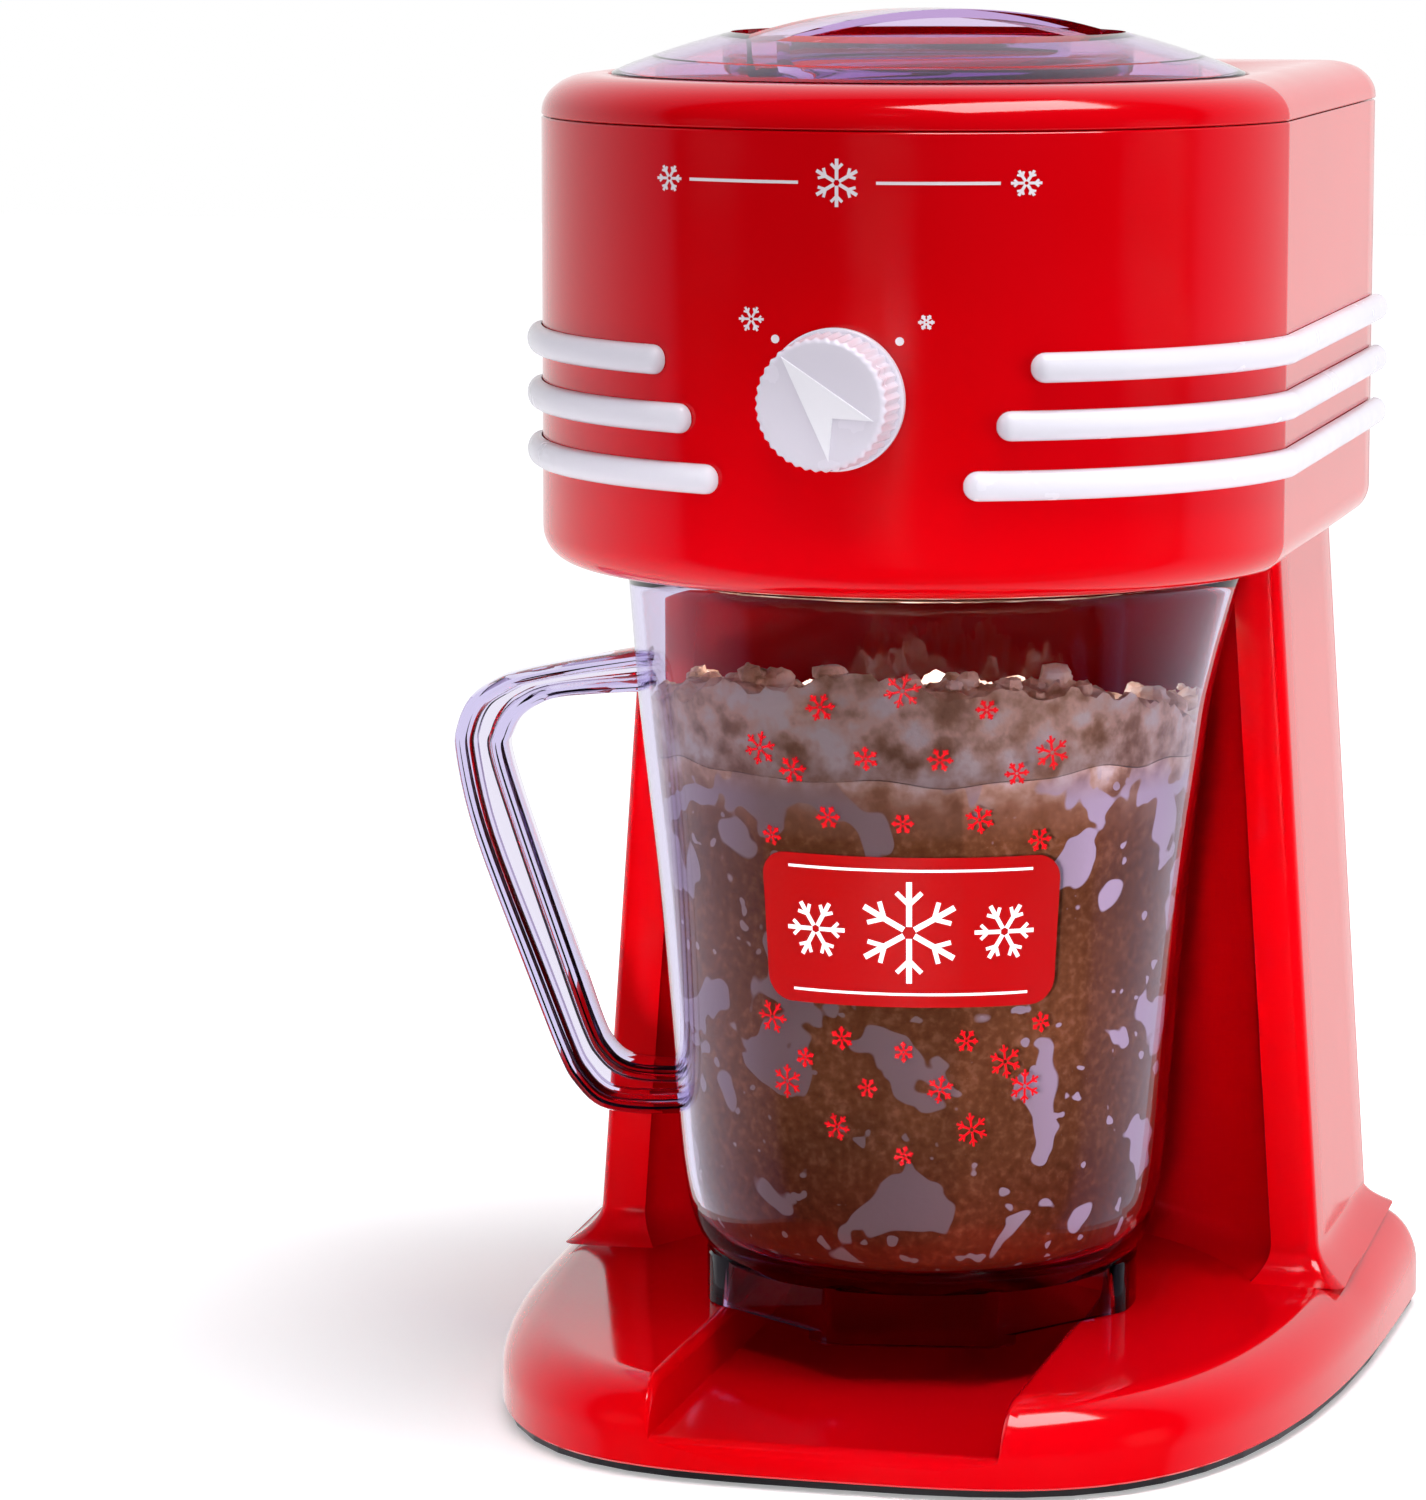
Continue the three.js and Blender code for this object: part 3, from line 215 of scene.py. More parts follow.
def add_noise(nodes, scale, detail, distortion=0.0):
    tex = nodes.new("ShaderNodeTexNoise")
    feed(tex, {"Scale": scale, "Detail": detail, "Distortion": distortion, "Vector": object_place(nodes)})
    return tex.outputs["Fac"]


def ramp(nodes, source, stops):
    node = nodes.new("ShaderNodeValToRGB")
    elements = node.color_ramp.elements
    while len(elements) < len(stops):
        elements.new(0.5)
    for element, (position, colour) in zip(elements, stops):
        element.position = position
        element.color = (*colour, 1)
    feed(node, {"Fac": source})
    return node.outputs["Color"]


def grey_ramp(nodes, source, low, high):
    return ramp(nodes, source, [(0.3, (low,) * 3), (0.7, (high,) * 3)])


def add_bump(nodes, shader, height, strength, distance):
    bump = nodes.new("ShaderNodeBump")
    feed(bump, {"Strength": strength, "Distance": distance, "Height": height})
    feed(shader, {"Normal": bump.outputs["Normal"]})


def plastic(name, low, high, roughness, grain, bump, specular=0.5, metallic=0.0):
    """Moulded plastic or metal: slight colour drift, polish that varies, and a fine surface grain."""
    material, nodes, shader = new_material(name)
    feed(shader, {
        "Base Color": ramp(nodes, add_noise(nodes, 9, 2), [(0.35, low), (0.65, high)]),
        "Roughness": grey_ramp(nodes, add_noise(nodes, 60, 4), *roughness),
        "Specular IOR Level": specular,
        "Metallic": metallic,
    })
    add_bump(nodes, shader, add_noise(nodes, grain, 2), bump, 0.0003)
    return material


RED = plastic("red gloss plastic", (0.60, 0.0, 0.002), (0.64, 0.0, 0.004), (0.07, 0.12), 1400, 0.015)
WHITE = plastic("white gloss plastic", (0.71, 0.69, 0.77), (0.75, 0.73, 0.81), (0.2, 0.28), 1800, 0.02)
# Painted shade: the knob is a darker copy of the white plastic, for the shade on its front-facing face.
SHADED_KNOB_WHITE = plastic("white knob plastic with painted shade", (0.68, 0.64, 0.73), (0.72, 0.68, 0.77), (0.2, 0.28), 1800, 0.02)
# Painted light: the pointer is a lighter copy of the white plastic, so the raised arrow stands out as if
# lit.
LIT_POINTER_WHITE = plastic("white pointer plastic with painted light", (0.82, 0.8, 0.86), (0.86, 0.84, 0.9), (0.3, 0.4),
                        1800, 0.02)
DARK = plastic("dark plastic", (0.015, 0.015, 0.017), (0.03, 0.03, 0.033), (0.4, 0.6), 1600, 0.1)
NATURAL = plastic("natural plastic", (0.72, 0.71, 0.67), (0.8, 0.79, 0.76), (0.35, 0.5), 1200, 0.05)
GREY = plastic("grey plastic", (0.2, 0.21, 0.23), (0.26, 0.27, 0.29), (0.4, 0.55), 1600, 0.1)
RUBBER = plastic("black rubber", (0.012, 0.012, 0.012), (0.03, 0.03, 0.03), (0.7, 0.9), 2200, 0.2)
STEEL = plastic("bright steel", (0.5, 0.51, 0.53), (0.62, 0.63, 0.65), (0.2, 0.35), 2600, 0.04,
                metallic=1.0)
BRASS = plastic("turned brass", (0.62, 0.42, 0.15), (0.72, 0.5, 0.2), (0.2, 0.32), 2400, 0.05, metallic=1.0)
FERRITE = plastic("sintered magnet", (0.03, 0.03, 0.035), (0.06, 0.06, 0.065), (0.45, 0.65), 2600, 0.15)
PRINT_RED = plastic("red print", (0.27, 0.0, 0.0), (0.31, 0.0, 0.002), (0.3, 0.4), 2000, 0.02, specular=0.2)
FLAKE_RED = plastic("bright red print", (0.52, 0.0, 0.003), (0.58, 0.0, 0.006), (0.3, 0.4), 2000, 0.02,
                    specular=0.2)
PRINT_WHITE = plastic("white print", (0.8, 0.74, 0.78), (0.86, 0.8, 0.84), (0.35, 0.45), 2000, 0.02)


def clear_plastic(name, skin, shadow, tint, density, ior=1.36):
    """Clear plastic: skin colours its surface, shadow the light that falls through it, tint its depth."""
    material, nodes, shader = new_material(name)
    polish = grey_ramp(nodes, add_noise(nodes, 40, 3), 0.0, 0.02)
    feed(shader, {"Base Color": (*skin, 1), "Transmission Weight": 1.0, "IOR": ior, "Roughness": polish})
    depth = nodes.new("ShaderNodeVolumeAbsorption")
    feed(depth, {"Color": (*tint, 1), "Density": density})
    lamp = nodes.new("ShaderNodeBsdfTransparent")
    feed(lamp, {"Color": (*shadow, 1)})
    path = nodes.new("ShaderNodeLightPath")
    mix = nodes.new("ShaderNodeMixShader")
    feed(mix, {"Fac": path.outputs["Is Shadow Ray"], 1: shader.outputs["BSDF"], 2: lamp.outputs["BSDF"]})
    feed(nodes["Material Output"], {"Volume": depth.outputs["Volume"], "Surface": mix.outputs["Shader"]})
    return material


CLEAR = clear_plastic("clear violet plastic", (0.97, 0.95, 1.0), (0.97, 0.95, 0.99), (0.55, 0.45, 0.88), 55)
CLEAR_LID = clear_plastic("clear violet lid plastic", (0.95, 0.9, 0.98), (0.95, 0.9, 0.97),
                          (0.6, 0.36, 0.74), 65, 1.22)
# Painted shade: the foot is a darker, more violet-red copy of the clear plastic; it also lets less lamp
# light through, so the channel under it falls into shadow.
SHADED_CLEAR_FOOT = clear_plastic("violet foot plastic with painted shade", (0.62, 0.42, 0.6), (0.4, 0.34, 0.42),
                           (0.55, 0.45, 0.88), 55)

SLOT_MATERIALS = {
    "red_plastic": RED, "white_plastic": WHITE, "clear_plastic": CLEAR, "dark_plastic": DARK,
    "natural_plastic": NATURAL, "grey_plastic": GREY, "rubber": RUBBER, "brass": BRASS,
    "ferrite": FERRITE, "steel": STEEL,
}
for row in frame["record"]["subparts"]:
    node = frame["nodes"][row["node"]]
    for index in range(len(node.material_slots)):
        node.material_slots[index].material = SLOT_MATERIALS[row["material_slot"]]

# ---------------- base

BASE_TOP, BASE_BOTTOM, BASE_FRONT, BASE_REAR = 24.5, 2.9, -119.7, 136.5
BASE_HALF, BASE_STRAIGHT, BASE_POWER, BASE_FILLET, BASE_CORNER = 118.8, 163, 3.54, 14, 16
RISE_FROM, RISE = 45, 4.5
CHANNEL_HALF, CHANNEL_FLOOR, CHANNEL_REAR, LIP = 46, 11, 62, 6


def deck_rise(y):
    return max(y - RISE_FROM, 0) * RISE / (BASE_REAR - RISE_FROM)


def base_half_width(y, inset):
    reach = BASE_STRAIGHT - BASE_FRONT - inset
    t = min(max((BASE_STRAIGHT - y) / reach, 0), 1)
    return (BASE_HALF - inset) * (1 - t ** BASE_POWER) ** (1 / BASE_POWER)


def base_outline_right(inset):
    front = BASE_FRONT + inset
    steps = 56
    points = []
    for i in range(steps + 1):
        y = front + (RISE_FROM - front) * (i / steps) ** 2.6
        points.append((0 if i == 0 else base_half_width(y, inset), y))
    corner = max(BASE_CORNER - inset, 2)
    side = base_half_width(BASE_REAR - BASE_CORNER, inset)
    rear = BASE_REAR - inset
    for i in range(1, 9):
        y = RISE_FROM + (rear - corner - RISE_FROM) * i / 9
        points.append((base_half_width(y, inset), y))
    return points + arc(side - corner, rear - corner, corner, 0, 90, 10)


def base_height(z, y):
    return z + deck_rise(y) * (z - BASE_BOTTOM) / (BASE_TOP - BASE_BOTTOM)


def make_base():
    rings = []
    levels = [(BASE_BOTTOM, 0.6), (BASE_BOTTOM + 0.6, 0)]
    for i in range(13):
        angle = math.pi / 2 * i / 12
        z = BASE_TOP - BASE_FILLET * (1 - math.sin(angle))
        levels.append((z, BASE_FILLET * (1 - math.cos(angle))))
    for z, inset in levels:
        right = base_outline_right(inset)
        outline = right + mirrored(right)[:-1]
        rings.append([(x, y, base_height(z, y)) for x, y in outline])
    verts, faces = loft(rings, caps=False)
    half = len(base_outline_right(0))
    count = len(rings[0])
    for start, flip in ((0, True), ((len(rings) - 1) * count, False)):
        for i in range(half - 1):
            a, b = start + i, start + i + 1
            c = start + count - i - 1
            d = start + (count - i) % count
            face = (a, b, c) if i == 0 else (a, b, c, d)
            faces.append(tuple(reversed(face)) if flip else face)
    base = new_object("base_body", verts, faces)
    return combine(base, channel_cutter(), "DIFFERENCE", 30)


def surface_height(x, y):
    """Height of the base's rounded upper surface above the point x, y."""
    low, high = 0.0, float(BASE_FILLET)
    if base_half_width(y, 0) <= x:
        return BASE_TOP - BASE_FILLET
    if base_half_width(y, high) >= x:
        return BASE_TOP + deck_rise(y)
    for _ in range(24):
        middle = (low + high) / 2
        if base_half_width(y, middle) >= x:
            low = middle
        else:
            high = middle
    across = 1 - low / BASE_FILLET
    return BASE_TOP - BASE_FILLET * (1 - math.sqrt(max(1 - across * across, 0)))


def channel_cutter():
    stations = [BASE_FRONT - 6 + 0.75 * i for i in range(34)] + [-80, 0, RISE_FROM, CHANNEL_REAR]
    radius = 3.0
    rings = []
    for y in stations:
        top = surface_height(CHANNEL_HALF, y)
        into = y - BASE_FRONT
        floor = CHANNEL_FLOOR
        if into < LIP:
            floor = CHANNEL_FLOOR - LIP + math.sqrt(max(LIP ** 2 - (LIP - max(into, 0)) ** 2, 0))
        side = [(CHANNEL_HALF - 0.8, floor), (CHANNEL_HALF - 0.2, floor + 0.3), (CHANNEL_HALF, floor + 1)]
        start = max(top - radius, floor + 1.2)
        for i in range(9):
            angle = math.radians(85 * i / 8)
            out = radius * (1 - math.cos(angle))
            side.append((CHANNEL_HALF + out, start + (top - start) * math.sin(angle)))
        side.append((side[-1][0], top + 14))
        section = side + [(-x, z) for x, z in reversed(side)]
        rings.append([(x, y, z) for x, z in section])
    verts, faces = loft([list(reversed(ring)) for ring in rings])
    return new_object("channel_cutter", verts, faces)


dress(make_base(), "housing", "red_plastic", RED, "base_shell")

# ---------------- column

COLUMN_BOTTOM, COLUMN_TOP, COLUMN_FRONT, COLUMN_REAR = 24.8, 226.6, 40, 131.2
FLARE, FLARE_HEIGHT, COLUMN_LIP, COLUMN_CORNER = 8, 10, 3.5, 6
COLUMN_SIDE, SIDE_TAPER = 104.7, 0.0693  # half width at the table, and what it loses per mm of height
BAY_RADIUS, BAY_TAPER = 101.5, 0.062


def column_outline(z, flare):
    half = COLUMN_SIDE - SIDE_TAPER * z + flare
    bay = BAY_RADIUS - BAY_TAPER * z - flare
    front = COLUMN_FRONT - flare
    lip_x = half - COLUMN_LIP
    bay_y = front + COLUMN_LIP
    bay_x = math.sqrt(bay * bay - bay_y * bay_y)
    edge = min(bay_x, lip_x - 0.4)
    right = [(edge, front + COLUMN_LIP * 0.35), ((edge + lip_x) / 2, front)]
    right += arc(lip_x, front + COLUMN_LIP, COLUMN_LIP, -90, 0, 8)
    right += [(half, front + COLUMN_LIP + (COLUMN_REAR - 10 - front) * i / 6) for i in range(1, 6)]
    right += arc(half - COLUMN_CORNER, COLUMN_REAR - COLUMN_CORNER, COLUMN_CORNER, 0, 90, 8)
    sweep = math.degrees(math.atan2(bay_y, bay_x))
    return right + mirrored(right) + arc(0, 0, bay, 180 - sweep, sweep, 56)


def make_column():
    rings = []
    steps = 14
    for i in range(steps + 1):
        t = i / steps
        z = COLUMN_BOTTOM + FLARE_HEIGHT * t
        outline = column_outline(z, FLARE * (1 - t) ** 2.2)
        rings.append([(x, y, z - 0.3 * (1 - t) + deck_rise(y) * (1 - t)) for x, y in outline])
    for z in (80, 130, 180, COLUMN_TOP):
        rings.append(at_height(column_outline(z, 0), z))
    return new_object("column_body", *loft(rings), sharp=30)


dress(make_column(), "housing", "red_plastic", RED, "column_shell")

# ---------------- head

HEAD_BOTTOM, HEAD_SEAM, CAP_TOP = 226.9, 344.8, 355.8
HEAD_HALF, HEAD_FRONT, HEAD_RADIUS, HEAD_CORNER = 100.1, -104.4, 101.7, 10
HEAD_REAR, COVER_REAR = 134.5, 137.4
HEAD_FILLET, CAP_WIDTH, CAP_HEIGHT = 9, 14, 10
CHUTE_HOLE, LID_SEAT_RADIUS, HOPPER_HOLE = 68.3, 84.6, 76.2
SEAT_FLOOR, CAP_UNDERSIDE, SEAM_HALF_GAP = 353.6, 347.5, 0.15


def head_right(inset, rear=HEAD_REAR, rear_corner=4):
    half = HEAD_HALF - inset
    radius = HEAD_RADIUS - inset
    centre = HEAD_FRONT + HEAD_RADIUS
    corner = max(HEAD_CORNER - inset, 0.8)
    corner_x = half - corner
    corner_y = centre - math.sqrt((radius - corner) ** 2 - corner_x ** 2)
    turn = math.degrees(math.atan2(corner_x, centre - corner_y))
    rear_round = max(rear_corner - inset, 0.8)
    points = arc(0, centre, radius, -90, turn - 90, 44)
    points += arc(corner_x, corner_y, corner, turn - 90, 0, 10)[1:]
    points += [(half, corner_y + (rear - 10 - corner_y) * i / 30) for i in range(1, 30)]
    points += arc(half - rear_round, rear - inset - rear_round, rear_round, 0, 90, 5)
    return points + [((half - rear_round) * k / 21, rear - inset) for k in range(19, 0, -2)]


def head_outline(inset, rear=HEAD_REAR, rear_corner=4):
    right = head_right(inset, rear, rear_corner)
    return right + mirrored(right)[:-1]


def to_circle(points, radius):
    return [(x * radius / math.hypot(x, y), y * radius / math.hypot(x, y)) for x, y in points]


def make_head():
    outline = head_outline(0)
    top = HEAD_SEAM - SEAM_HALF_GAP
    rings = [at_height(to_circle(outline, CHUTE_HOLE), HEAD_BOTTOM)]
    for i in range(11):
        angle = math.pi / 2 * i / 10
        z = HEAD_BOTTOM + HEAD_FILLET * (1 - math.cos(angle))
        rings.append(at_height(head_outline(HEAD_FILLET * (1 - math.sin(angle))), z))
    rings += [at_height(outline, top - 0.4), at_height(head_outline(0.35), top)]
    rings += [at_height(head_outline(2.5), top), at_height(head_outline(2.5), HEAD_BOTTOM + 9)]
    rings += [at_height(head_outline(9), HEAD_BOTTOM + 2.5)]
    rings += [at_height(to_circle(outline, CHUTE_HOLE), HEAD_BOTTOM + 2.5)]
    return new_object("head_body", *loft(rings, wrap=True), sharp=30)


def make_cap():
    def outline(inset):
        return head_outline(inset, COVER_REAR, 6)

    low = HEAD_SEAM + SEAM_HALF_GAP
    rings = [at_height(outline(0.35), low), at_height(outline(0), low + 0.4)]
    for i in range(15):
        angle = math.pi / 2 * i / 14
        z = CAP_TOP - CAP_HEIGHT * (1 - math.sin(angle))
        rings.append(at_height(outline(CAP_WIDTH * (1 - math.cos(angle))), z))
    round_edge = to_circle(outline(0), 1)
    for radius, z in ((LID_SEAT_RADIUS + 0.7, CAP_TOP), (LID_SEAT_RADIUS + 0.2, CAP_TOP - 0.2),
                      (LID_SEAT_RADIUS, CAP_TOP - 0.7), (LID_SEAT_RADIUS, SEAT_FLOOR),
                      (HOPPER_HOLE, SEAT_FLOOR), (HOPPER_HOLE, CAP_UNDERSIDE)):
        rings.append([(x * radius, y * radius, z) for x, y in round_edge])
    rings += [at_height(outline(4), CAP_UNDERSIDE), at_height(outline(4), low)]
    return new_object("head_cap", *loft(rings, wrap=True), sharp=30)


HOPPER_BORE, HOPPER_MOUTH, HOPPER_WALL = 48, 73.4, 2.2
HOPPER_BOTTOM, HOPPER_CONE, HOPPER_TOP = 259.3, 302, 351.7


def make_hopper():
    """Funnel for the ice, seen through the lid: a straight bore, a cone and a flange under the cap."""
    bore, mouth, wall, top = HOPPER_BORE, HOPPER_MOUTH, HOPPER_WALL, HOPPER_TOP
    levels = [(bore, HOPPER_BOTTOM), (bore + wall, HOPPER_BOTTOM), (bore + wall, HOPPER_CONE),
              (mouth + wall, top - 6.7), (mouth + wall, top - 1.7), (mouth + wall + 2.4, top - 1.7),
              (mouth + wall + 2.4, top), (mouth + 0.6, top), (mouth, top - 0.6), (mouth, top - 5.9),
              (bore + 1.5, HOPPER_CONE + 3), (bore + 0.3, HOPPER_CONE + 0.4), (bore, HOPPER_CONE - 2)]
    rings = [at_height(arc(0, 0, radius, 0, 357.5, 143), z) for radius, z in levels]
    return new_object("hopper_body", *loft(rings, wrap=True), sharp=30)


dress(make_hopper(), "housing", "red_plastic", RED, "ice_hopper")
dress(make_head(), "housing", "red_plastic", RED, "head_shell")
dress(make_cap(), "housing", "red_plastic", RED, "head_top_cap")

# ---------------- trim bars

BAR_HALF, BAR_DEPTH, BAR_REAR, BAR_GAP = 3.8, 3.7, 134, 0.3
BARS = (("upper", 285.9, 47.3), ("middle", 271.4, 39.4), ("lower", 256.4, 31.6))


def bar_path(tip):
    radius = HEAD_RADIUS + BAR_GAP
    start = (tip, HEAD_FRONT + HEAD_RADIUS - math.sqrt(radius ** 2 - tip ** 2))
    middle = [p for p in head_right(-BAR_GAP, BAR_REAR + 12) if p[0] > tip and p[1] < BAR_REAR - 2]
    return [Vector(p) for p in [start, *middle, (HEAD_HALF + BAR_GAP, BAR_REAR)]]


def make_bar(level, z, tip, side):
    path = bar_path(tip)
    along = (path[1] - path[0]).normalized()
    stations = []
    for t in (0.02, 0.08, 0.18, 0.32, 0.5, 0.72, 1):
        stations.append((path[0] + along * BAR_HALF * t, math.sqrt(1 - (1 - t) ** 2)))
    stations += [(p, 1) for p in path[1:] if (p - path[0]).length > BAR_HALF * 1.3]
    rings = []
    for i, (at, size) in enumerate(stations):
        way = stations[min(i + 1, len(stations) - 1)][0] - stations[max(i - 1, 0)][0]
        way.normalize()
        ring = []
        for k in range(17):
            angle = -math.pi / 2 + math.pi * k / 16
            reach = BAR_DEPTH * size * math.cos(angle) ** 0.8 if abs(math.cos(angle)) > 1e-9 else 0
            up = z + BAR_HALF * size * math.sin(angle)
            ring.append((side * (at.x + way.y * reach), at.y - way.x * reach, up))
        rings.append(ring if side > 0 else list(reversed(ring)))
    name = "left" if side < 0 else "right"
    bar = new_object(f"bar_{level}_{name}", *loft(rings), sharp=50)
    dress(bar, "housing", "white_plastic", WHITE, f"trim_bar_{level}_{name}")


for level, height, tip in BARS:
    for side in (-1, 1):
        make_bar(level, height, tip, side)

# ---------------- knob

KNOB_Z, KNOB_BACK, KNOB_FACE = 278, HEAD_FRONT - 0.3, -122.6
KNOB_SKIRT, KNOB_RADIUS, FLUTE_DEPTH = 18, 16.9, 0.7
POINTER = ((-9.8, 11.9), (2.3, -13.9), (3.3, -3.2), (13.8, -3.65))


def fluted(radius, depth, flutes=40, per_flute=6):
    points = []
    for i in range(flutes * per_flute):
        angle = 2 * math.pi * i / (flutes * per_flute)
        r = radius - depth * (0.5 + 0.5 * math.cos(angle * flutes))
        points.append((r * math.cos(angle), r * math.sin(angle)))
    return points


def knob_ring(radius, depth, flute):
    return [(x, KNOB_BACK - depth, KNOB_Z + y) for x, y in fluted(radius, flute)]


def make_knob():
    full = KNOB_BACK - KNOB_FACE - 0.5
    levels = [(KNOB_SKIRT - 0.3, 0, 0), (KNOB_SKIRT, 0.3, 0), (KNOB_SKIRT, 2.2, 0), (17.6, 2.6, 0),
              (17.3, 2.7, FLUTE_DEPTH), (KNOB_RADIUS, full - 2.2, FLUTE_DEPTH)]
    for i in range(1, 8):
        angle = math.pi / 2 * i / 7
        radius = KNOB_RADIUS - 1.7 * (1 - math.cos(angle))
        levels.append((radius, full - 1.9 + 1.9 * math.sin(angle), FLUTE_DEPTH * (1 - i / 7)))
    rings = [knob_ring(*level) for level in levels]
    for radius in (13, 9, 5, 2):
        rings.append(knob_ring(radius, full, 0))
    knob = new_object("knob_body", *loft(rings), sharp=40)
    dress(knob, "knob", "white_plastic", SHADED_KNOB_WHITE, "texture_knob")
    rings = []
    for shrink, depth in ((0, full - 0.3), (0, full + 0.25), (0.25, full + 0.45)):
        centre = (sum(p[0] for p in POINTER) / 4, sum(p[1] for p in POINTER) / 4)
        ring = []
        for x, y in POINTER:
            away = math.hypot(x - centre[0], y - centre[1])
            k = 1 - shrink / away
            up = KNOB_Z + centre[1] + (y - centre[1]) * k
            ring.append((centre[0] + (x - centre[0]) * k, KNOB_BACK - depth, up))
        rings.append(ring)
    pointer = new_object("knob_pointer", *loft([list(reversed(r)) for r in rings]), sharp=20)
    dress(pointer, "knob", "white_plastic", LIT_POINTER_WHITE)


make_knob()

# ---------------- lid

LID_RADIUS, LID_SEAT, LID_APEX, LID_WALL = 84, 354, 372.8, 2.4
GRIP_RADIUS, GRIP_FLOOR, RIDGE_HALF, GRIP_TURN = 52, 357.4, 9, 50


def dome_height(r, thickness=0.0):
    rise = LID_APEX - LID_SEAT - 2.2
    radius = (LID_RADIUS ** 2 + rise ** 2) / (2 * rise)
    return LID_APEX - radius + math.sqrt(radius ** 2 - r ** 2) - thickness


def dome(thickness, edge, foot, name):
    profile = [(0, foot), (edge - 0.5, foot), (edge, foot + 0.5)]
    top = dome_height(edge, thickness)
    profile += [(edge, top - 0.6), (edge - 0.2, top - 0.15)]
    profile += [(edge * (1 - i / 24), dome_height(edge * (1 - i / 24), thickness)) for i in range(1, 25)]
    return new_object(name, *lathe(profile, 144))


def pocket(side, grow, floor):
    near = RIDGE_HALF - grow
    radius = GRIP_RADIUS + grow
    sweep = math.degrees(math.asin(near / radius))
    turn = math.radians(GRIP_TURN + (0 if side > 0 else 180))
    rings = []
    for lift, shrink in ((0, 3.0), (0.5, 1.6), (1.5, 0.5), (3.0, 0), (20, -0.6)):
        outline = arc(0, 0, radius - shrink, sweep, 180 - sweep, 48)
        ring = []
        for x, y in outline:
            y = max(y, near + shrink)
            c, s = math.cos(turn), math.sin(turn)
            ring.append((x * c - y * s, x * s + y * c, floor + lift))
        rings.append(ring)
    return new_object("pocket", *loft(rings))


def make_lid():
    lid = dome(0, LID_RADIUS, LID_SEAT, "lid_body")
    hollow = dome(LID_WALL, LID_RADIUS - 2.6, LID_SEAT - 1, "lid_hollow")
    for side in (-1, 1):
        combine(lid, pocket(side, 0, GRIP_FLOOR), "DIFFERENCE")
        combine(hollow, pocket(side, LID_WALL, GRIP_FLOOR - LID_WALL), "DIFFERENCE")
    combine(lid, hollow, "DIFFERENCE", 32)
    skirt = new_object("skirt", *loft([
        at_height(arc(0, 0, r, 0, 360 - 360 / 96, 95), z)
        for r, z in ((70.4, 345), (72.4, 345), (72.4, 358.5), (70.4, 358.5))
    ], wrap=True))
    combine(lid, skirt, "UNION", 32)
    dress(lid, "lid", "clear_plastic", CLEAR_LID, "lid")


make_lid()

# ---------------- jug

JUG_PROFILE = ((37, 55.5), (41, 59.2), (46, 61.8), (54, 63.9), (66, 65.6), (96, 67.9), (140, 71.6),
               (188, 76.9), (206, 78.4), (221, 79.6), (224.5, 79.8))
JUG_FLOOR, JUG_RIM, JUG_WALL, JUG_TURN = 41, 224.5, 3, 9.5
SPOUT_FROM, SPOUT_REACH = 188, 5


def smooth_lookup(table, key):
    """Catmull-Rom interpolation of the second column against the first."""
    last = len(table) - 1
    i = 0
    while i < last - 1 and table[i + 1][0] < key:
        i += 1
    x0, x1 = table[i][0], table[i + 1][0]
    t = min(max((key - x0) / (x1 - x0), 0), 1)
    p1, p2 = table[i][1], table[i + 1][1]
    before, after = table[max(i - 1, 0)], table[min(i + 2, last)]
    m1 = (p2 - before[1]) / (x1 - before[0]) * (x1 - x0) if i else p2 - p1
    m2 = (after[1] - p1) / (after[0] - x0) * (x1 - x0) if i + 2 <= last else p2 - p1
    return ((2 * t ** 3 - 3 * t ** 2 + 1) * p1 + (t ** 3 - 2 * t ** 2 + t) * m1
            + (3 * t ** 2 - 2 * t ** 3) * p2 + (t ** 3 - t ** 2) * m2)


def spun(x, y, degrees=JUG_TURN):
    c, s = math.cos(math.radians(degrees)), math.sin(math.radians(degrees))
    return (x * c - y * s, x * s + y * c)


def jug_radius(z, angle, inset=0.0):
    """Radius of the jug at a height and at an angle from its pouring lip, in degrees."""
    lift = max((z - SPOUT_FROM) / (JUG_RIM - SPOUT_FROM), 0)
    toward = max(math.cos(math.radians(angle)), 0) ** 14
    return smooth_lookup(JUG_PROFILE, z) - inset + SPOUT_REACH * toward * lift ** 1.3


def jug_ring(z, inset, sides=120):
    ring = []
    for i in range(sides):
        angle = 360 * i / sides
        r = jug_radius(min(max(z, 37), JUG_RIM), angle, inset)
        ring.append((*spun(*polar(r, angle)), z))
    return ring


def jug_solid(name, levels):
    return new_object(name, *loft([jug_ring(z, inset) for z, inset in levels]))


HANDLE_OUTER = ((72, 202), (92, 198.4), (109.7, 194.6), (115.5, 192.5), (122.6, 187.8), (126.3, 180),
                (126.6, 171.5), (121.6, 150), (107.4, 111.6), (99, 90), (94.6, 82), (87.5, 75.6),
                (76, 73.9), (62, 74.5))
HANDLE_INNER = ((72, 190), (86, 189.2), (98.4, 188), (104, 186), (108.8, 182.4), (111.4, 177.6),
                (112, 172), (105.2, 150), (93.2, 115.6), (87.4, 98.7), (84.6, 93.3), (80.6, 89.6),
                (74, 88.2), (61, 88.2))


def spline(points, per_span):
    result = []
    last = len(points) - 1
    for i in range(last):
        p0, p1 = Vector(points[max(i - 1, 0)]), Vector(points[i])
        p2, p3 = Vector(points[i + 1]), Vector(points[min(i + 2, last)])
        for k in range(per_span):
            t = k / per_span
            result.append(0.5 * ((2 * p1) + (p2 - p0) * t + (2 * p0 - 5 * p1 + 4 * p2 - p3) * t * t
                                 + (3 * p1 - p0 - 3 * p2 + p3) * t ** 3))
    result.append(Vector(points[-1]))
    return result


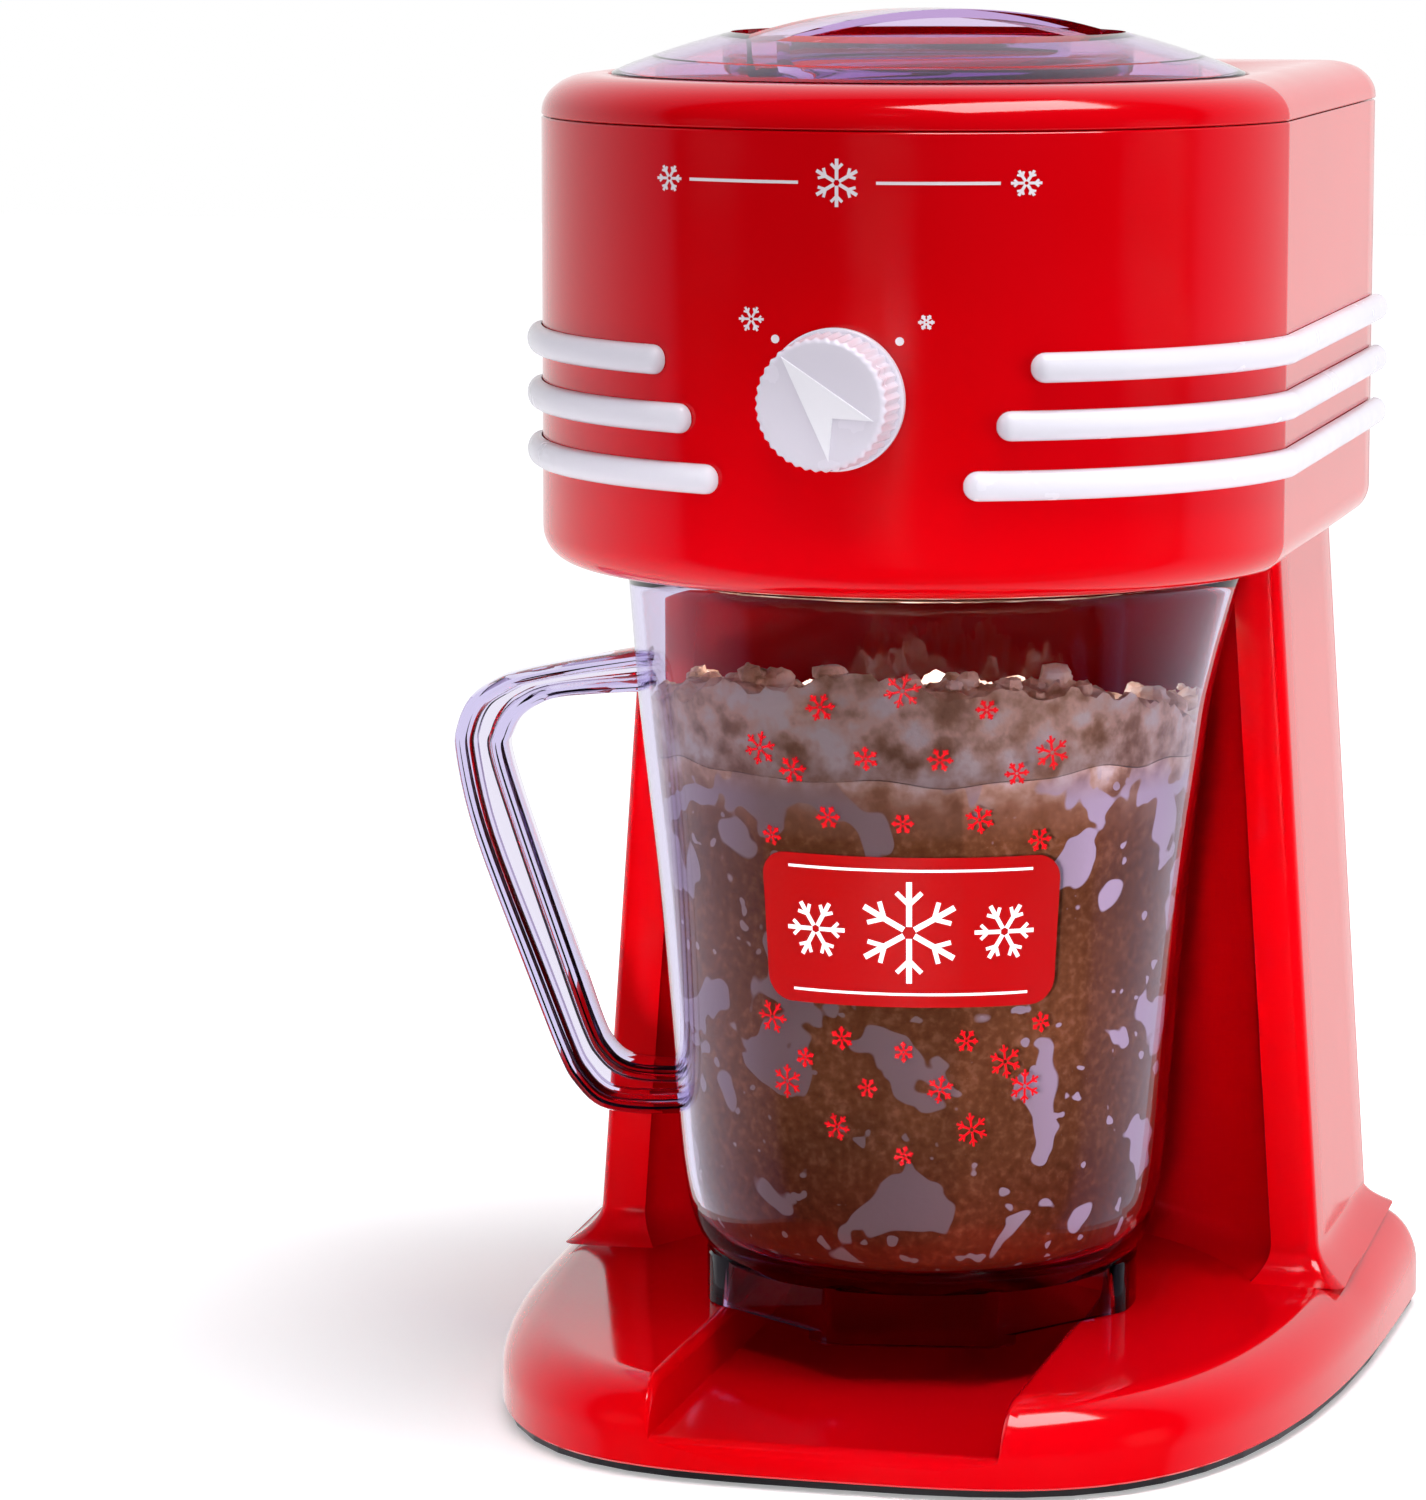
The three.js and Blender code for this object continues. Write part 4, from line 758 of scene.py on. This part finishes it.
def handle_section(width):
    """Cross-section of the handle: two rounded rails joined by a thin web."""
    k = min(width / 14.0, 1)
    half = [(0, 4.6), (0.5, 6.0), (1.7, 6.8), (3.2, 6.8), (4.3, 6.1), (4.8, 4.6), (5.2, 2.9), (6.0, 2.2)]
    upper = [(u * k, v) for u, v in half] + [(width - u * k, v) for u, v in reversed(half)]
    return upper + [(u, -v) for u, v in reversed(upper)]


def make_handle():
    rings = []
    for outer, inner in zip(spline(HANDLE_OUTER, 5), spline(HANDLE_INNER, 5)):
        across = outer - inner
        width = across.length
        across.normalize()
        ring = []
        for u, v in handle_section(width):
            at = inner + across * u
            ring.append((*spun(-at.x, v), at.y))
        rings.append(ring)
    return new_object("handle", *loft(rings))


FOOT_TOP = 38.3
FOOT_RADIUS, FOOT_FRONT, FOOT_CHAMFER, FOOT_SIDES = 58.5, -52, 74, 96


def foot_outline(inset):
    """Octagon-like foot: a wide flat front, chamfered corners and a round back."""
    radius = FOOT_RADIUS - inset
    front = FOOT_FRONT + inset
    points = []
    for i in range(FOOT_SIDES):
        angle = math.radians(-90 + 360 * i / FOOT_SIDES + 180 / FOOT_SIDES)
        x, y = radius * math.cos(angle), radius * math.sin(angle)
        y = max(y, front)
        chamfer = FOOT_CHAMFER - inset
        if y < 0 and abs(x) + abs(y) > chamfer:
            excess = (abs(x) + abs(y) - chamfer) / 2
            x -= math.copysign(excess, x)
            y += excess
        points.append(spun(x, y))
    return points


def box_object(name, xs, ys, zs):
    """A box in the jug's turned frame."""
    corners = [(*spun(x, y), z) for z in zs for y in ys for x in xs]
    faces = [(0, 2, 3, 1), (4, 5, 7, 6), (0, 1, 5, 4), (1, 3, 7, 5), (3, 2, 6, 7), (2, 0, 4, 6)]
    return new_object(name, corners, faces)


def wall_levels(inset):
    """Levels of the jug's wall above its rounded lower part, closer together at the pouring lip."""
    return [(66 + 8 * i, inset) for i in range(16)] + [(190 + 3 * i, inset) for i in range(11)]


def make_jug():
    outer_levels = [(37, 0), (39, 0), (41, 0), (43.5, 0), (46, 0), (50, 0), (54, 0), (60, 0)]
    outer_levels += wall_levels(0) + [(223.6, 0), (224.2, 0.25), (JUG_RIM, 0.9)]
    jug = jug_solid("jug_body", outer_levels)
    foot_levels = ((0.6, 22.0), (0, 22.6), (0, 37.6), (0.5, 38.2), (3.4, 38.2), (4.2, 34.5), (4.2, 22.0))
    foot = new_object("foot", *loft([at_height(foot_outline(i), z) for i, z in foot_levels], wrap=True))
    around_foot = foot_outline(-8)
    ring_cut = new_object("ring_cut", *loft([at_height(around_foot, 10), at_height(around_foot, 24.8)]))
    front_keep = box_object("front_keep", (-44, 44), (-80, -46.5), (5, 30))
    combine(ring_cut, front_keep, "DIFFERENCE")
    combine(foot, ring_cut, "DIFFERENCE")
    combine(jug, foot, "UNION")
    combine(jug, make_handle(), "UNION")
    inner_levels = [(JUG_FLOOR, 8.5), (41.8, 6.2), (43.4, 4.6), (46, 3.6), (50, 3.1), (54, 3), (60, 3)]
    inner_levels += wall_levels(JUG_WALL) + [(223.6, 3), (224.2, 2.7), (225.5, 2.2)]
    combine(jug, jug_solid("jug_hollow", inner_levels), "DIFFERENCE", 32)
    dress(jug, "jug", "clear_plastic", CLEAR, "jug")
    # Everything below FOOT_TOP takes the foot plastic with its painted shade.
    jug.data.materials.append(SHADED_CLEAR_FOOT)
    for face in jug.data.polygons:
        face.material_index = int(face.center.z < FOOT_TOP * MM)


make_jug()

# ---------------- drink and ice

SLUSH_TOP = 177  # where the drink ends and the loose ice begins, at the jug's wall
ICE_LEVEL = 188  # height of the heap at the jug's axis, before its mounds and crags
ICE_TOP = 206  # nothing in the jug stands higher
ICE_SLOPE, MOUND_HEIGHT, CRAG_HEIGHT = 0.22, 7, 3.5
ICE_LUMPS, LUMP_SIZES = 300, (1.2, 1.6, 2.2, 3.0, 4.2)


def add_mix(nodes, factor, first, second, blend="MIX"):
    mix = nodes.new("ShaderNodeMix")
    mix.data_type = "RGBA"
    mix.blend_type = blend
    feed(mix, {"Factor": factor, "A": first, "B": second})
    return mix.outputs["Result"]


def add_math(nodes, operation, first, second=0.0):
    node = nodes.new("ShaderNodeMath")
    node.operation = operation
    feed(node, {0: first, 1: second})
    return node.outputs["Value"]


def object_axis(nodes, axis):
    split = nodes.new("ShaderNodeSeparateXYZ")
    feed(split, {"Vector": object_place(nodes)})
    return split.outputs[axis]


def length_ramp(nodes, length, low, high):
    """0 at one length and 1 at another, both in millimetres."""
    span = nodes.new("ShaderNodeMapRange")
    feed(span, {"From Min": low * MM, "From Max": high * MM, "Value": length})
    return span.outputs["Result"]


def height_ramp(nodes, low, high):
    return length_ramp(nodes, object_axis(nodes, "Z"), low, high)


def side_ramp(nodes, near, far):
    """0 in the middle of the machine and 1 towards its sides."""
    return length_ramp(nodes, add_math(nodes, "ABSOLUTE", object_axis(nodes, "X")), near, far)


def ice_colour(nodes):
    """Ice soaked brown where it meets the drink, and clear beige above, with an uneven edge between."""
    stain = add_noise(nodes, 120, 4)
    soaked = ramp(nodes, stain, [(0.35, (0.22, 0.095, 0.045)), (0.65, (0.42, 0.215, 0.12))])
    clean = ramp(nodes, stain, [(0.36, (0.66, 0.37, 0.2)), (0.5, (0.95, 0.64, 0.43)),
                                (0.64, (1.0, 0.86, 0.7))])
    uneven = add_math(nodes, "MULTIPLY", add_math(nodes, "SUBTRACT", stain, 0.5), 2.6)
    uneven = add_math(nodes, "MULTIPLY", uneven, height_ramp(nodes, 166, 180))
    above = add_math(nodes, "ADD", height_ramp(nodes, 168, 190), uneven)
    return add_mix(nodes, above, soaked, clean)


def frost_patches(nodes):
    """1 where the contents have come off the jug's wall: large patches in two bands, and small specks."""
    clouds = add_noise(nodes, 50, 2, 0.35)
    upper = add_math(nodes, "MULTIPLY", height_ramp(nodes, 145, 170), 0.07)
    band = add_math(nodes, "MULTIPLY", height_ramp(nodes, 84, 100), height_ramp(nodes, 125, 112))
    lower = add_math(nodes, "MULTIPLY", band, 0.06)
    lifted = add_math(nodes, "ADD", add_math(nodes, "ADD", clouds, upper), lower)
    patch = ramp(nodes, lifted, [(0.598, (0, 0, 0)), (0.61, (1, 1, 1))])
    speck = ramp(nodes, add_noise(nodes, 170, 1), [(0.685, (0, 0, 0)), (0.705, (1, 1, 1))])
    return add_mix(nodes, 1.0, patch, speck, "LIGHTEN")


def make_slush_material():
    """Brown iced drink: soft mottling, reddish at the bottom, with frosted patches on the wall that turn
    lighter and lilac towards the sides as a painted reflection.
    """
    material, nodes, shader = new_material("brown slush")
    grains = add_noise(nodes, 420, 5)
    brown = ramp(nodes, grains, [(0.3, (0.13, 0.046, 0.015)), (0.52, (0.18, 0.068, 0.025)),
                                 (0.75, (0.29, 0.13, 0.06))])
    shade = ramp(nodes, add_noise(nodes, 20, 3), [(0.35, (0.7, 0.62, 0.56)), (0.65, (1.15, 1.1, 1.05))])
    body = add_mix(nodes, 1.0, brown, shade, "MULTIPLY")
    red_end = ramp(nodes, height_ramp(nodes, 42, 78), [(0.0, (0.75, 0.2, 0.14)), (1.0, (1, 1, 1))])
    body = add_mix(nodes, 1.0, body, red_end, "MULTIPLY")
    body = add_mix(nodes, height_ramp(nodes, 160, 174), body, ice_colour(nodes))
    frosted = add_mix(nodes, 1.0, frost_patches(nodes), height_ramp(nodes, 180, 170), "MULTIPLY")
    # Painted reflection: the frosted patches turn lighter and lilac towards the jug's sides.
    frost_with_painted_reflection = ramp(nodes, side_ramp(nodes, 25, 58), [(0.0, (0.29, 0.2, 0.17)), (1.0, (0.52, 0.42, 0.46))])
    feed(shader, {
        "Base Color": add_mix(nodes, frosted, body, frost_with_painted_reflection),
        "Roughness": grey_ramp(nodes, grains, 0.45, 0.65),
        "Specular IOR Level": 0.08,
    })
    add_bump(nodes, shader, grains, 0.25, 0.0006)
    return material


def make_ice_material():
    """Crushed ice: soaked brown where it meets the drink, clear beige crags at the top."""
    material, nodes, shader = new_material("crushed ice")
    feed(shader, {
        "Base Color": ice_colour(nodes),
        "Roughness": 0.3,
        "Specular IOR Level": 0.1,
        "Transmission Weight": 0.08,
        "IOR": 1.31,
    })
    add_bump(nodes, shader, add_noise(nodes, 460, 4), 0.6, 0.001)
    return material


def slush_radius(z, angle):
    return jug_radius(min(max(z, 46), JUG_RIM), angle, JUG_WALL + 0.25)


def heap(x, y):
    """Height of the crushed ice at a point in the jug: it leans to the front, with a craggy skin."""
    mounds = noise.noise(Vector((x * 0.045 + 4.7, y * 0.045 + 1.3, 0.4)))
    crags = noise.ridged_multi_fractal(Vector((x * 0.11, y * 0.11, 7.7)), 0.9, 2.1, 4, 0.9, 2.0)
    return ICE_LEVEL - ICE_SLOPE * y + MOUND_HEIGHT * mounds + CRAG_HEIGHT * (crags - 1.2)


def drink_top(x, y):
    waves = noise.noise(Vector((x * 0.05, y * 0.05, 3.3)))
    return min(SLUSH_TOP + 4 * waves, heap(x, y) - 4)


def inside_jug(x, y, z):
    """Pulls a point back to the jug's inner wall, turns it with the jug and keeps it low enough."""
    far = math.hypot(x, y)
    limit = slush_radius(z, math.degrees(math.atan2(y, x)))
    if far > limit:
        x, y = x * limit / far, y * limit / far
    return (*spun(x, y), min(z, ICE_TOP))


def make_slush():
    """The drink and the ice on it, two closed skins that share the wall of the jug but not a surface."""
    sides = 240
    angles = [360 * i / sides for i in range(sides)]

    def wall_ring(z, inset):
        ring = []
        for angle in angles:
            r = slush_radius(z, angle) - inset
            ring.append((*spun(*polar(r, angle)), z))
        return ring

    def cover_ring(share, height):
        ring = []
        for angle in angles:
            z = min(height(*polar(slush_radius(SLUSH_TOP, angle) * share, angle)), ICE_TOP)
            ring.append((*spun(*polar(slush_radius(z, angle) * share, angle)), z))
        return ring

    def blend(share):
        return lambda x, y: drink_top(x, y) + 0.25 + (heap(x, y) - drink_top(x, y) - 0.25) * share

    levels = [(JUG_FLOOR + 0.4, 10), (42.2, 6.5), (44, 4.8), (47, 0.6), (51, 0.15), (55, 0)]
    levels += [(z, 0) for z in range(60, 161, 5)]
    rings = [wall_ring(z, inset) for z, inset in levels]
    shares = [1 - i / 60 for i in range(60)]
    rings += [cover_ring(share, drink_top) for share in shares[::3]]
    drink = new_object("slush", *loft(rings), sharp=60)
    dress(drink, "jug", "clear_plastic", make_slush_material())
    rings = [cover_ring(share, blend(0)) for share in reversed(shares[::3])]
    rings += [cover_ring(1, blend(k / 5)) for k in range(1, 5)]
    rings += [cover_ring(share, heap) for share in shares]
    heaped = new_object("crushed_ice", *loft(rings), sharp=35)
    dress(heaped, "jug", "clear_plastic", ICE)


def make_ice_lumps():
    """Loose lumps on the heap, each a dented ball pushed flat against the wall where it meets it."""
    rng = random.Random(7)
    verts, faces = [], []
    bands, segments = 8, 12
    for _ in range(ICE_LUMPS):
        angle = rng.uniform(0, 360)
        size = rng.choice(LUMP_SIZES)
        r = slush_radius(SLUSH_TOP, angle) * math.sqrt(rng.uniform(0.0, 1.0)) - size * 0.6
        cx, cy = polar(r, angle)
        centre = Vector((cx, cy, heap(cx, cy) + size * rng.uniform(-0.2, 0.5)))
        tall = rng.uniform(0.6, 1.0)
        start = len(verts)
        verts.append(inside_jug(cx, cy, centre.z - size * tall))
        for band in range(1, bands):
            tilt = math.pi * (1 - band / bands)
            for k in range(segments):
                around = 2 * math.pi * k / segments
                way = Vector((math.sin(tilt) * math.cos(around), math.sin(tilt) * math.sin(around),
                              tall * math.cos(tilt)))
                dent = 1 + 0.45 * noise.noise(way * 2.1 + centre)
                verts.append(inside_jug(*(centre + way * size * dent)))
        verts.append(inside_jug(cx, cy, centre.z + size * tall))
        last = len(verts) - 1
        for k in range(segments):
            n = (k + 1) % segments
            faces.append((start, start + 1 + n, start + 1 + k))
            faces.append((last, last - segments + k, last - segments + n))
            for band in range(bands - 2):
                low = start + 1 + band * segments
                faces.append((low + k, low + n, low + segments + n, low + segments + k))
    lumps = new_object("ice_lumps", verts, faces, sharp=28)
    dress(lumps, "jug", "clear_plastic", ICE)


ICE = make_ice_material()
make_slush()
make_ice_lumps()

# ---------------- printed marks


PRINT_FILM = (0.04, 0.16)  # how far the back and the face of a printed film stand off the surface


def print_mark(name, outlines, surface, body, slot, material):
    """Thin printed shapes: each convex outline in (across, up) becomes a film on a surface."""
    verts, faces = [], []
    for outline in outlines:
        start, count = len(verts), len(outline)
        for lift in PRINT_FILM:
            verts += [surface(u, v, lift) for u, v in outline]
        faces.append(tuple(start + i for i in reversed(range(count))))
        faces.append(tuple(start + count + i for i in range(count)))
        for i in range(count):
            j = (i + 1) % count
            faces.append((start + i, start + j, start + count + j, start + count + i))
    return dress(new_object(name, verts, faces, sharp=20), body, slot, material)


def bar_outline(u, v, angle, start, end, width):
    """A thin bar from start to end along an angle about (u, v), in short pieces that follow a curve."""
    c, s = math.cos(angle), math.sin(angle)
    pieces = []
    steps = max(1, math.ceil((end - start) / 2.5))
    for i in range(steps):
        a, b = start + (end - start) * i / steps, start + (end - start) * (i + 1) / steps
        h = width / 2
        pieces.append([(u + a * c + h * s, v + a * s - h * c), (u + b * c + h * s, v + b * s - h * c),
                       (u + b * c - h * s, v + b * s + h * c), (u + a * c - h * s, v + a * s + h * c)])
    return pieces


def flake(u, v, radius, turn, width):
    """A six-armed ice crystal with short side branches."""
    shapes = []
    for k in range(6):
        angle = turn + k * math.pi / 3
        shapes += bar_outline(u, v, angle, 0.12 * radius, radius, width)
        for side in (-1, 1):
            bu, bv = u + 0.55 * radius * math.cos(angle), v + 0.55 * radius * math.sin(angle)
            shapes += bar_outline(bu, bv, angle + side * math.pi / 4, 0, 0.34 * radius, width * 0.8)
    return shapes


BADGE_RADIUS = 71.5  # radius of the jug at the badge


def on_jug(u, v, lift):
    """A point printed on the jug: u is millimetres round from the middle of the badge, v the height."""
    angle = 270 + math.degrees(u / BADGE_RADIUS)
    r = jug_radius(v, angle, -lift)
    return (*spun(*polar(r, angle)), v)


def on_head(u, v, lift):
    radius = HEAD_RADIUS + lift
    return (u, HEAD_FRONT + HEAD_RADIUS - math.sqrt(radius ** 2 - u ** 2), v)


# Flakes on the jug: height, and distance to each side of the badge's middle line.
FLAKES = ((201, 0), (196, 20), (184, 37), (183, 9), (179, 28), (167, 19), (166, 0), (161, 35),
          (112, 38), (108, 17), (105, 0), (102, 28), (95, 34), (95, 10), (84, 19), (77, 0))
FLAKE_RADII, FLAKE_LINE = (2.8, 3.2, 3.8, 4.6), 0.62
BADGE_HEIGHT, BADGE_HALF_WIDTH, BADGE_HALF_HEIGHT, BADGE_CORNER = 137, 40, 20, 7
HEAD_MARK_HEIGHT = 332


def make_badge():
    """A plain rounded panel, one closed curved sheet."""
    across, up = 48, 20
    verts = []
    for lift in PRINT_FILM:
        for i in range(across + 1):
            u = -BADGE_HALF_WIDTH * math.cos(math.pi * i / across)
            into = max(abs(u) - (BADGE_HALF_WIDTH - BADGE_CORNER), 0)
            half = BADGE_HALF_HEIGHT - BADGE_CORNER + math.sqrt(max(BADGE_CORNER ** 2 - into ** 2, 0))
            verts += [on_jug(u, BADGE_HEIGHT + half * (2 * j / up - 1), lift) for j in range(up + 1)]
    row, layer = up + 1, (up + 1) * (across + 1)
    faces = []
    for i in range(across):
        for j in range(up):
            a = i * row + j
            quad = (a, a + row, a + row + 1, a + 1)
            faces.append(tuple(reversed(quad)))
            faces.append(tuple(v + layer for v in quad))
        low, high = i * row, i * row + up
        faces.append((low, low + row, low + row + layer, low + layer))
        faces.append((high + row, high, high + layer, high + row + layer))
    for j in range(up):
        end = across * row + j
        faces.append((j + 1, j, j + layer, j + 1 + layer))
        faces.append((end, end + 1, end + 1 + layer, end + layer))
    dress(new_object("jug_badge", verts, faces, sharp=20), "jug", "red_plastic", PRINT_RED)


def make_marks():
    rng = random.Random(12)
    flakes = []
    for height, away in FLAKES:
        for side in (-1, 1) if away else (1,):
            radius = rng.choice(FLAKE_RADII)
            flakes += flake(side * away - 1.5, height, radius, rng.uniform(0, 1), FLAKE_LINE)
    print_mark("jug_flakes", flakes, on_jug, "jug", "red_plastic", FLAKE_RED)
    make_badge()

    def above_badge(u, v, lift):
        return on_jug(u, BADGE_HEIGHT + v, lift + 0.14)

    art = flake(0, 0, 13.5, math.pi / 6, 1.5)
    for side in (-1, 1):
        art += flake(side * 25, 0, 8, 0, 1.1)
        art += bar_outline(0, side * 16.5, 0, -32, 32, 0.7)
    print_mark("jug_badge_art", art, above_badge, "jug", "white_plastic", PRINT_WHITE)

    head = flake(0, HEAD_MARK_HEIGHT, 6, math.pi / 6, 0.9)
    for side in (-1, 1):
        head += bar_outline(side * 25, HEAD_MARK_HEIGHT, 0, -15, 15, 0.8)
        head += flake(side * 46, HEAD_MARK_HEIGHT, 3.6, 0, 0.7)
        head += flake(side * 22.5, 297.5, 2.7 - side * 0.7, 0, 0.6)
        head.append(arc(side * 16, 292.7, 1.1, 0, 330, 11))
    print_mark("head_marks", head, on_head, "housing", "white_plastic", PRINT_WHITE)


make_marks()

# ---------------- studio

DARK_TOWARDS = (0.2585, -0.9002, 0.35)  # middle of the dark side of the studio, on the front and upwards
AMBIENT = (0.18, 0.175, 0.19, 1)
PAPER_WHITE = (1, 1, 1, 1)


def make_world():
    """White surroundings, dark on the front side; matt surfaces get an even, dimmer light all round."""
    scene = bpy.context.scene
    scene.view_settings.view_transform = "Standard"
    world = bpy.data.worlds.new("studio")
    world.use_nodes = True
    scene.world = world
    nodes = world.node_tree.nodes
    facing = nodes.new("ShaderNodeVectorMath")
    facing.operation = "DOT_PRODUCT"
    feed(facing, {0: nodes.new("ShaderNodeTexCoord").outputs["Generated"], 1: DARK_TOWARDS})
    spread = nodes.new("ShaderNodeMapRange")
    feed(spread, {"From Min": -1, "From Max": 1, "Value": facing.outputs["Value"]})
    result = ramp(nodes, spread.outputs["Result"], [
        (0.06, (1, 1, 1)), (0.28, (0.75, 0.7, 0.8)),
        (0.52, (0.25, 0.18, 0.28)), (0.56, (0.004, 0.003, 0.004))])
    path = nodes.new("ShaderNodeLightPath")
    for ray, colour in (("Is Diffuse Ray", AMBIENT), ("Is Camera Ray", PAPER_WHITE)):
        result = add_mix(nodes, path.outputs[ray], result, colour)
    feed(nodes["Background"], {"Color": result})


def make_floor():
    """White paper under the machine, seen but not mirrored, with a painted shadow: its glow is turned down
    close to the base.
    """
    material, nodes, shader = new_material("white floor")
    distance = nodes.new("ShaderNodeVectorMath")
    distance.operation = "LENGTH"
    feed(distance, {0: object_place(nodes)})
    # Painted shadow: the floor glows less within about 0.3 m of the machine, so it is darker round the
    # base.
    glow_with_painted_shadow = [(0.12, (0.3,) * 3), (0.3, (0.72,) * 3), (0.6, (0.85,) * 3)]
    feed(shader, {
        "Base Color": (0.86, 0.86, 0.88, 1),
        "Roughness": 0.6,
        "Specular IOR Level": 0.2,
        "Emission Color": PAPER_WHITE,
        "Emission Strength": ramp(nodes, distance.outputs["Value"], glow_with_painted_shadow),
    })
    half, front, rear = 3, -0.32, 5
    mesh = bpy.data.meshes.new("floor")
    corners = [(-half, front, 0), (half, front, 0), (half, rear, 0), (-half, rear, 0)]
    mesh.from_pydata(corners, [], [(0, 1, 2, 3)])
    mesh.materials.append(material)
    stage = bpy.data.objects.new("floor", mesh)
    bpy.context.collection.objects.link(stage)
    stage.location.z = -0.0002
    stage.visible_glossy = False
    stage.visible_transmission = False


def make_lamp(name, location, target, size, size_y, power, mirrored_too=True, spread=180):
    """A soft rectangular lamp; a fill that isn't mirrored only lights matt colour."""
    light = bpy.data.lights.new(name, "AREA")
    light.shape = "RECTANGLE"
    light.size, light.size_y = size, size_y
    light.energy = power
    light.spread = math.radians(spread)
    lamp = bpy.data.objects.new(name, light)
    bpy.context.collection.objects.link(lamp)
    lamp.location = location
    lamp.rotation_euler = (Vector(target) - Vector(location)).to_track_quat("-Z", "Y").to_euler()
    lamp.visible_camera = False
    lamp.visible_glossy = mirrored_too
    lamp.visible_transmission = mirrored_too


make_world()
make_floor()
make_lamp("softbox_top", (0.4, -0.25, 1.5), (0, 0, 0.25), 0.9, 0.6, 16)
FILLS = (
    # name, place, aimed at, width, height, watts, spread in degrees
    ("fill_front", (0, -2.0, 0.22), (0, 0, 0.15), 0.6, 0.6, 6.6, 180),
    ("fill_right", (2.0, -0.25, 0.4), (0, 0, 0.2), 0.8, 0.8, 17, 180),
    ("fill_bay", (0.1, -1.1, 0.15), (0, 0, 0.14), 0.3, 0.15, 0.2, 14),
    ("fill_jug", (0, -0.005, 0.2235), (0, 0.06, 0.15), 0.1, 0.1, 0.11, 180),
    ("fill_left", (-1.4, -1.1, 0.5), (0, 0, 0.28), 0.6, 0.6, 5, 180),
    ("fill_base", (0, -0.75, 0.9), (0, -0.06, 0), 0.2, 0.2, 0.06, 20),
)
for name, place, target, width, height, watts, spread in FILLS:
    make_lamp(name, place, target, width, height, watts, mirrored_too=False, spread=spread)
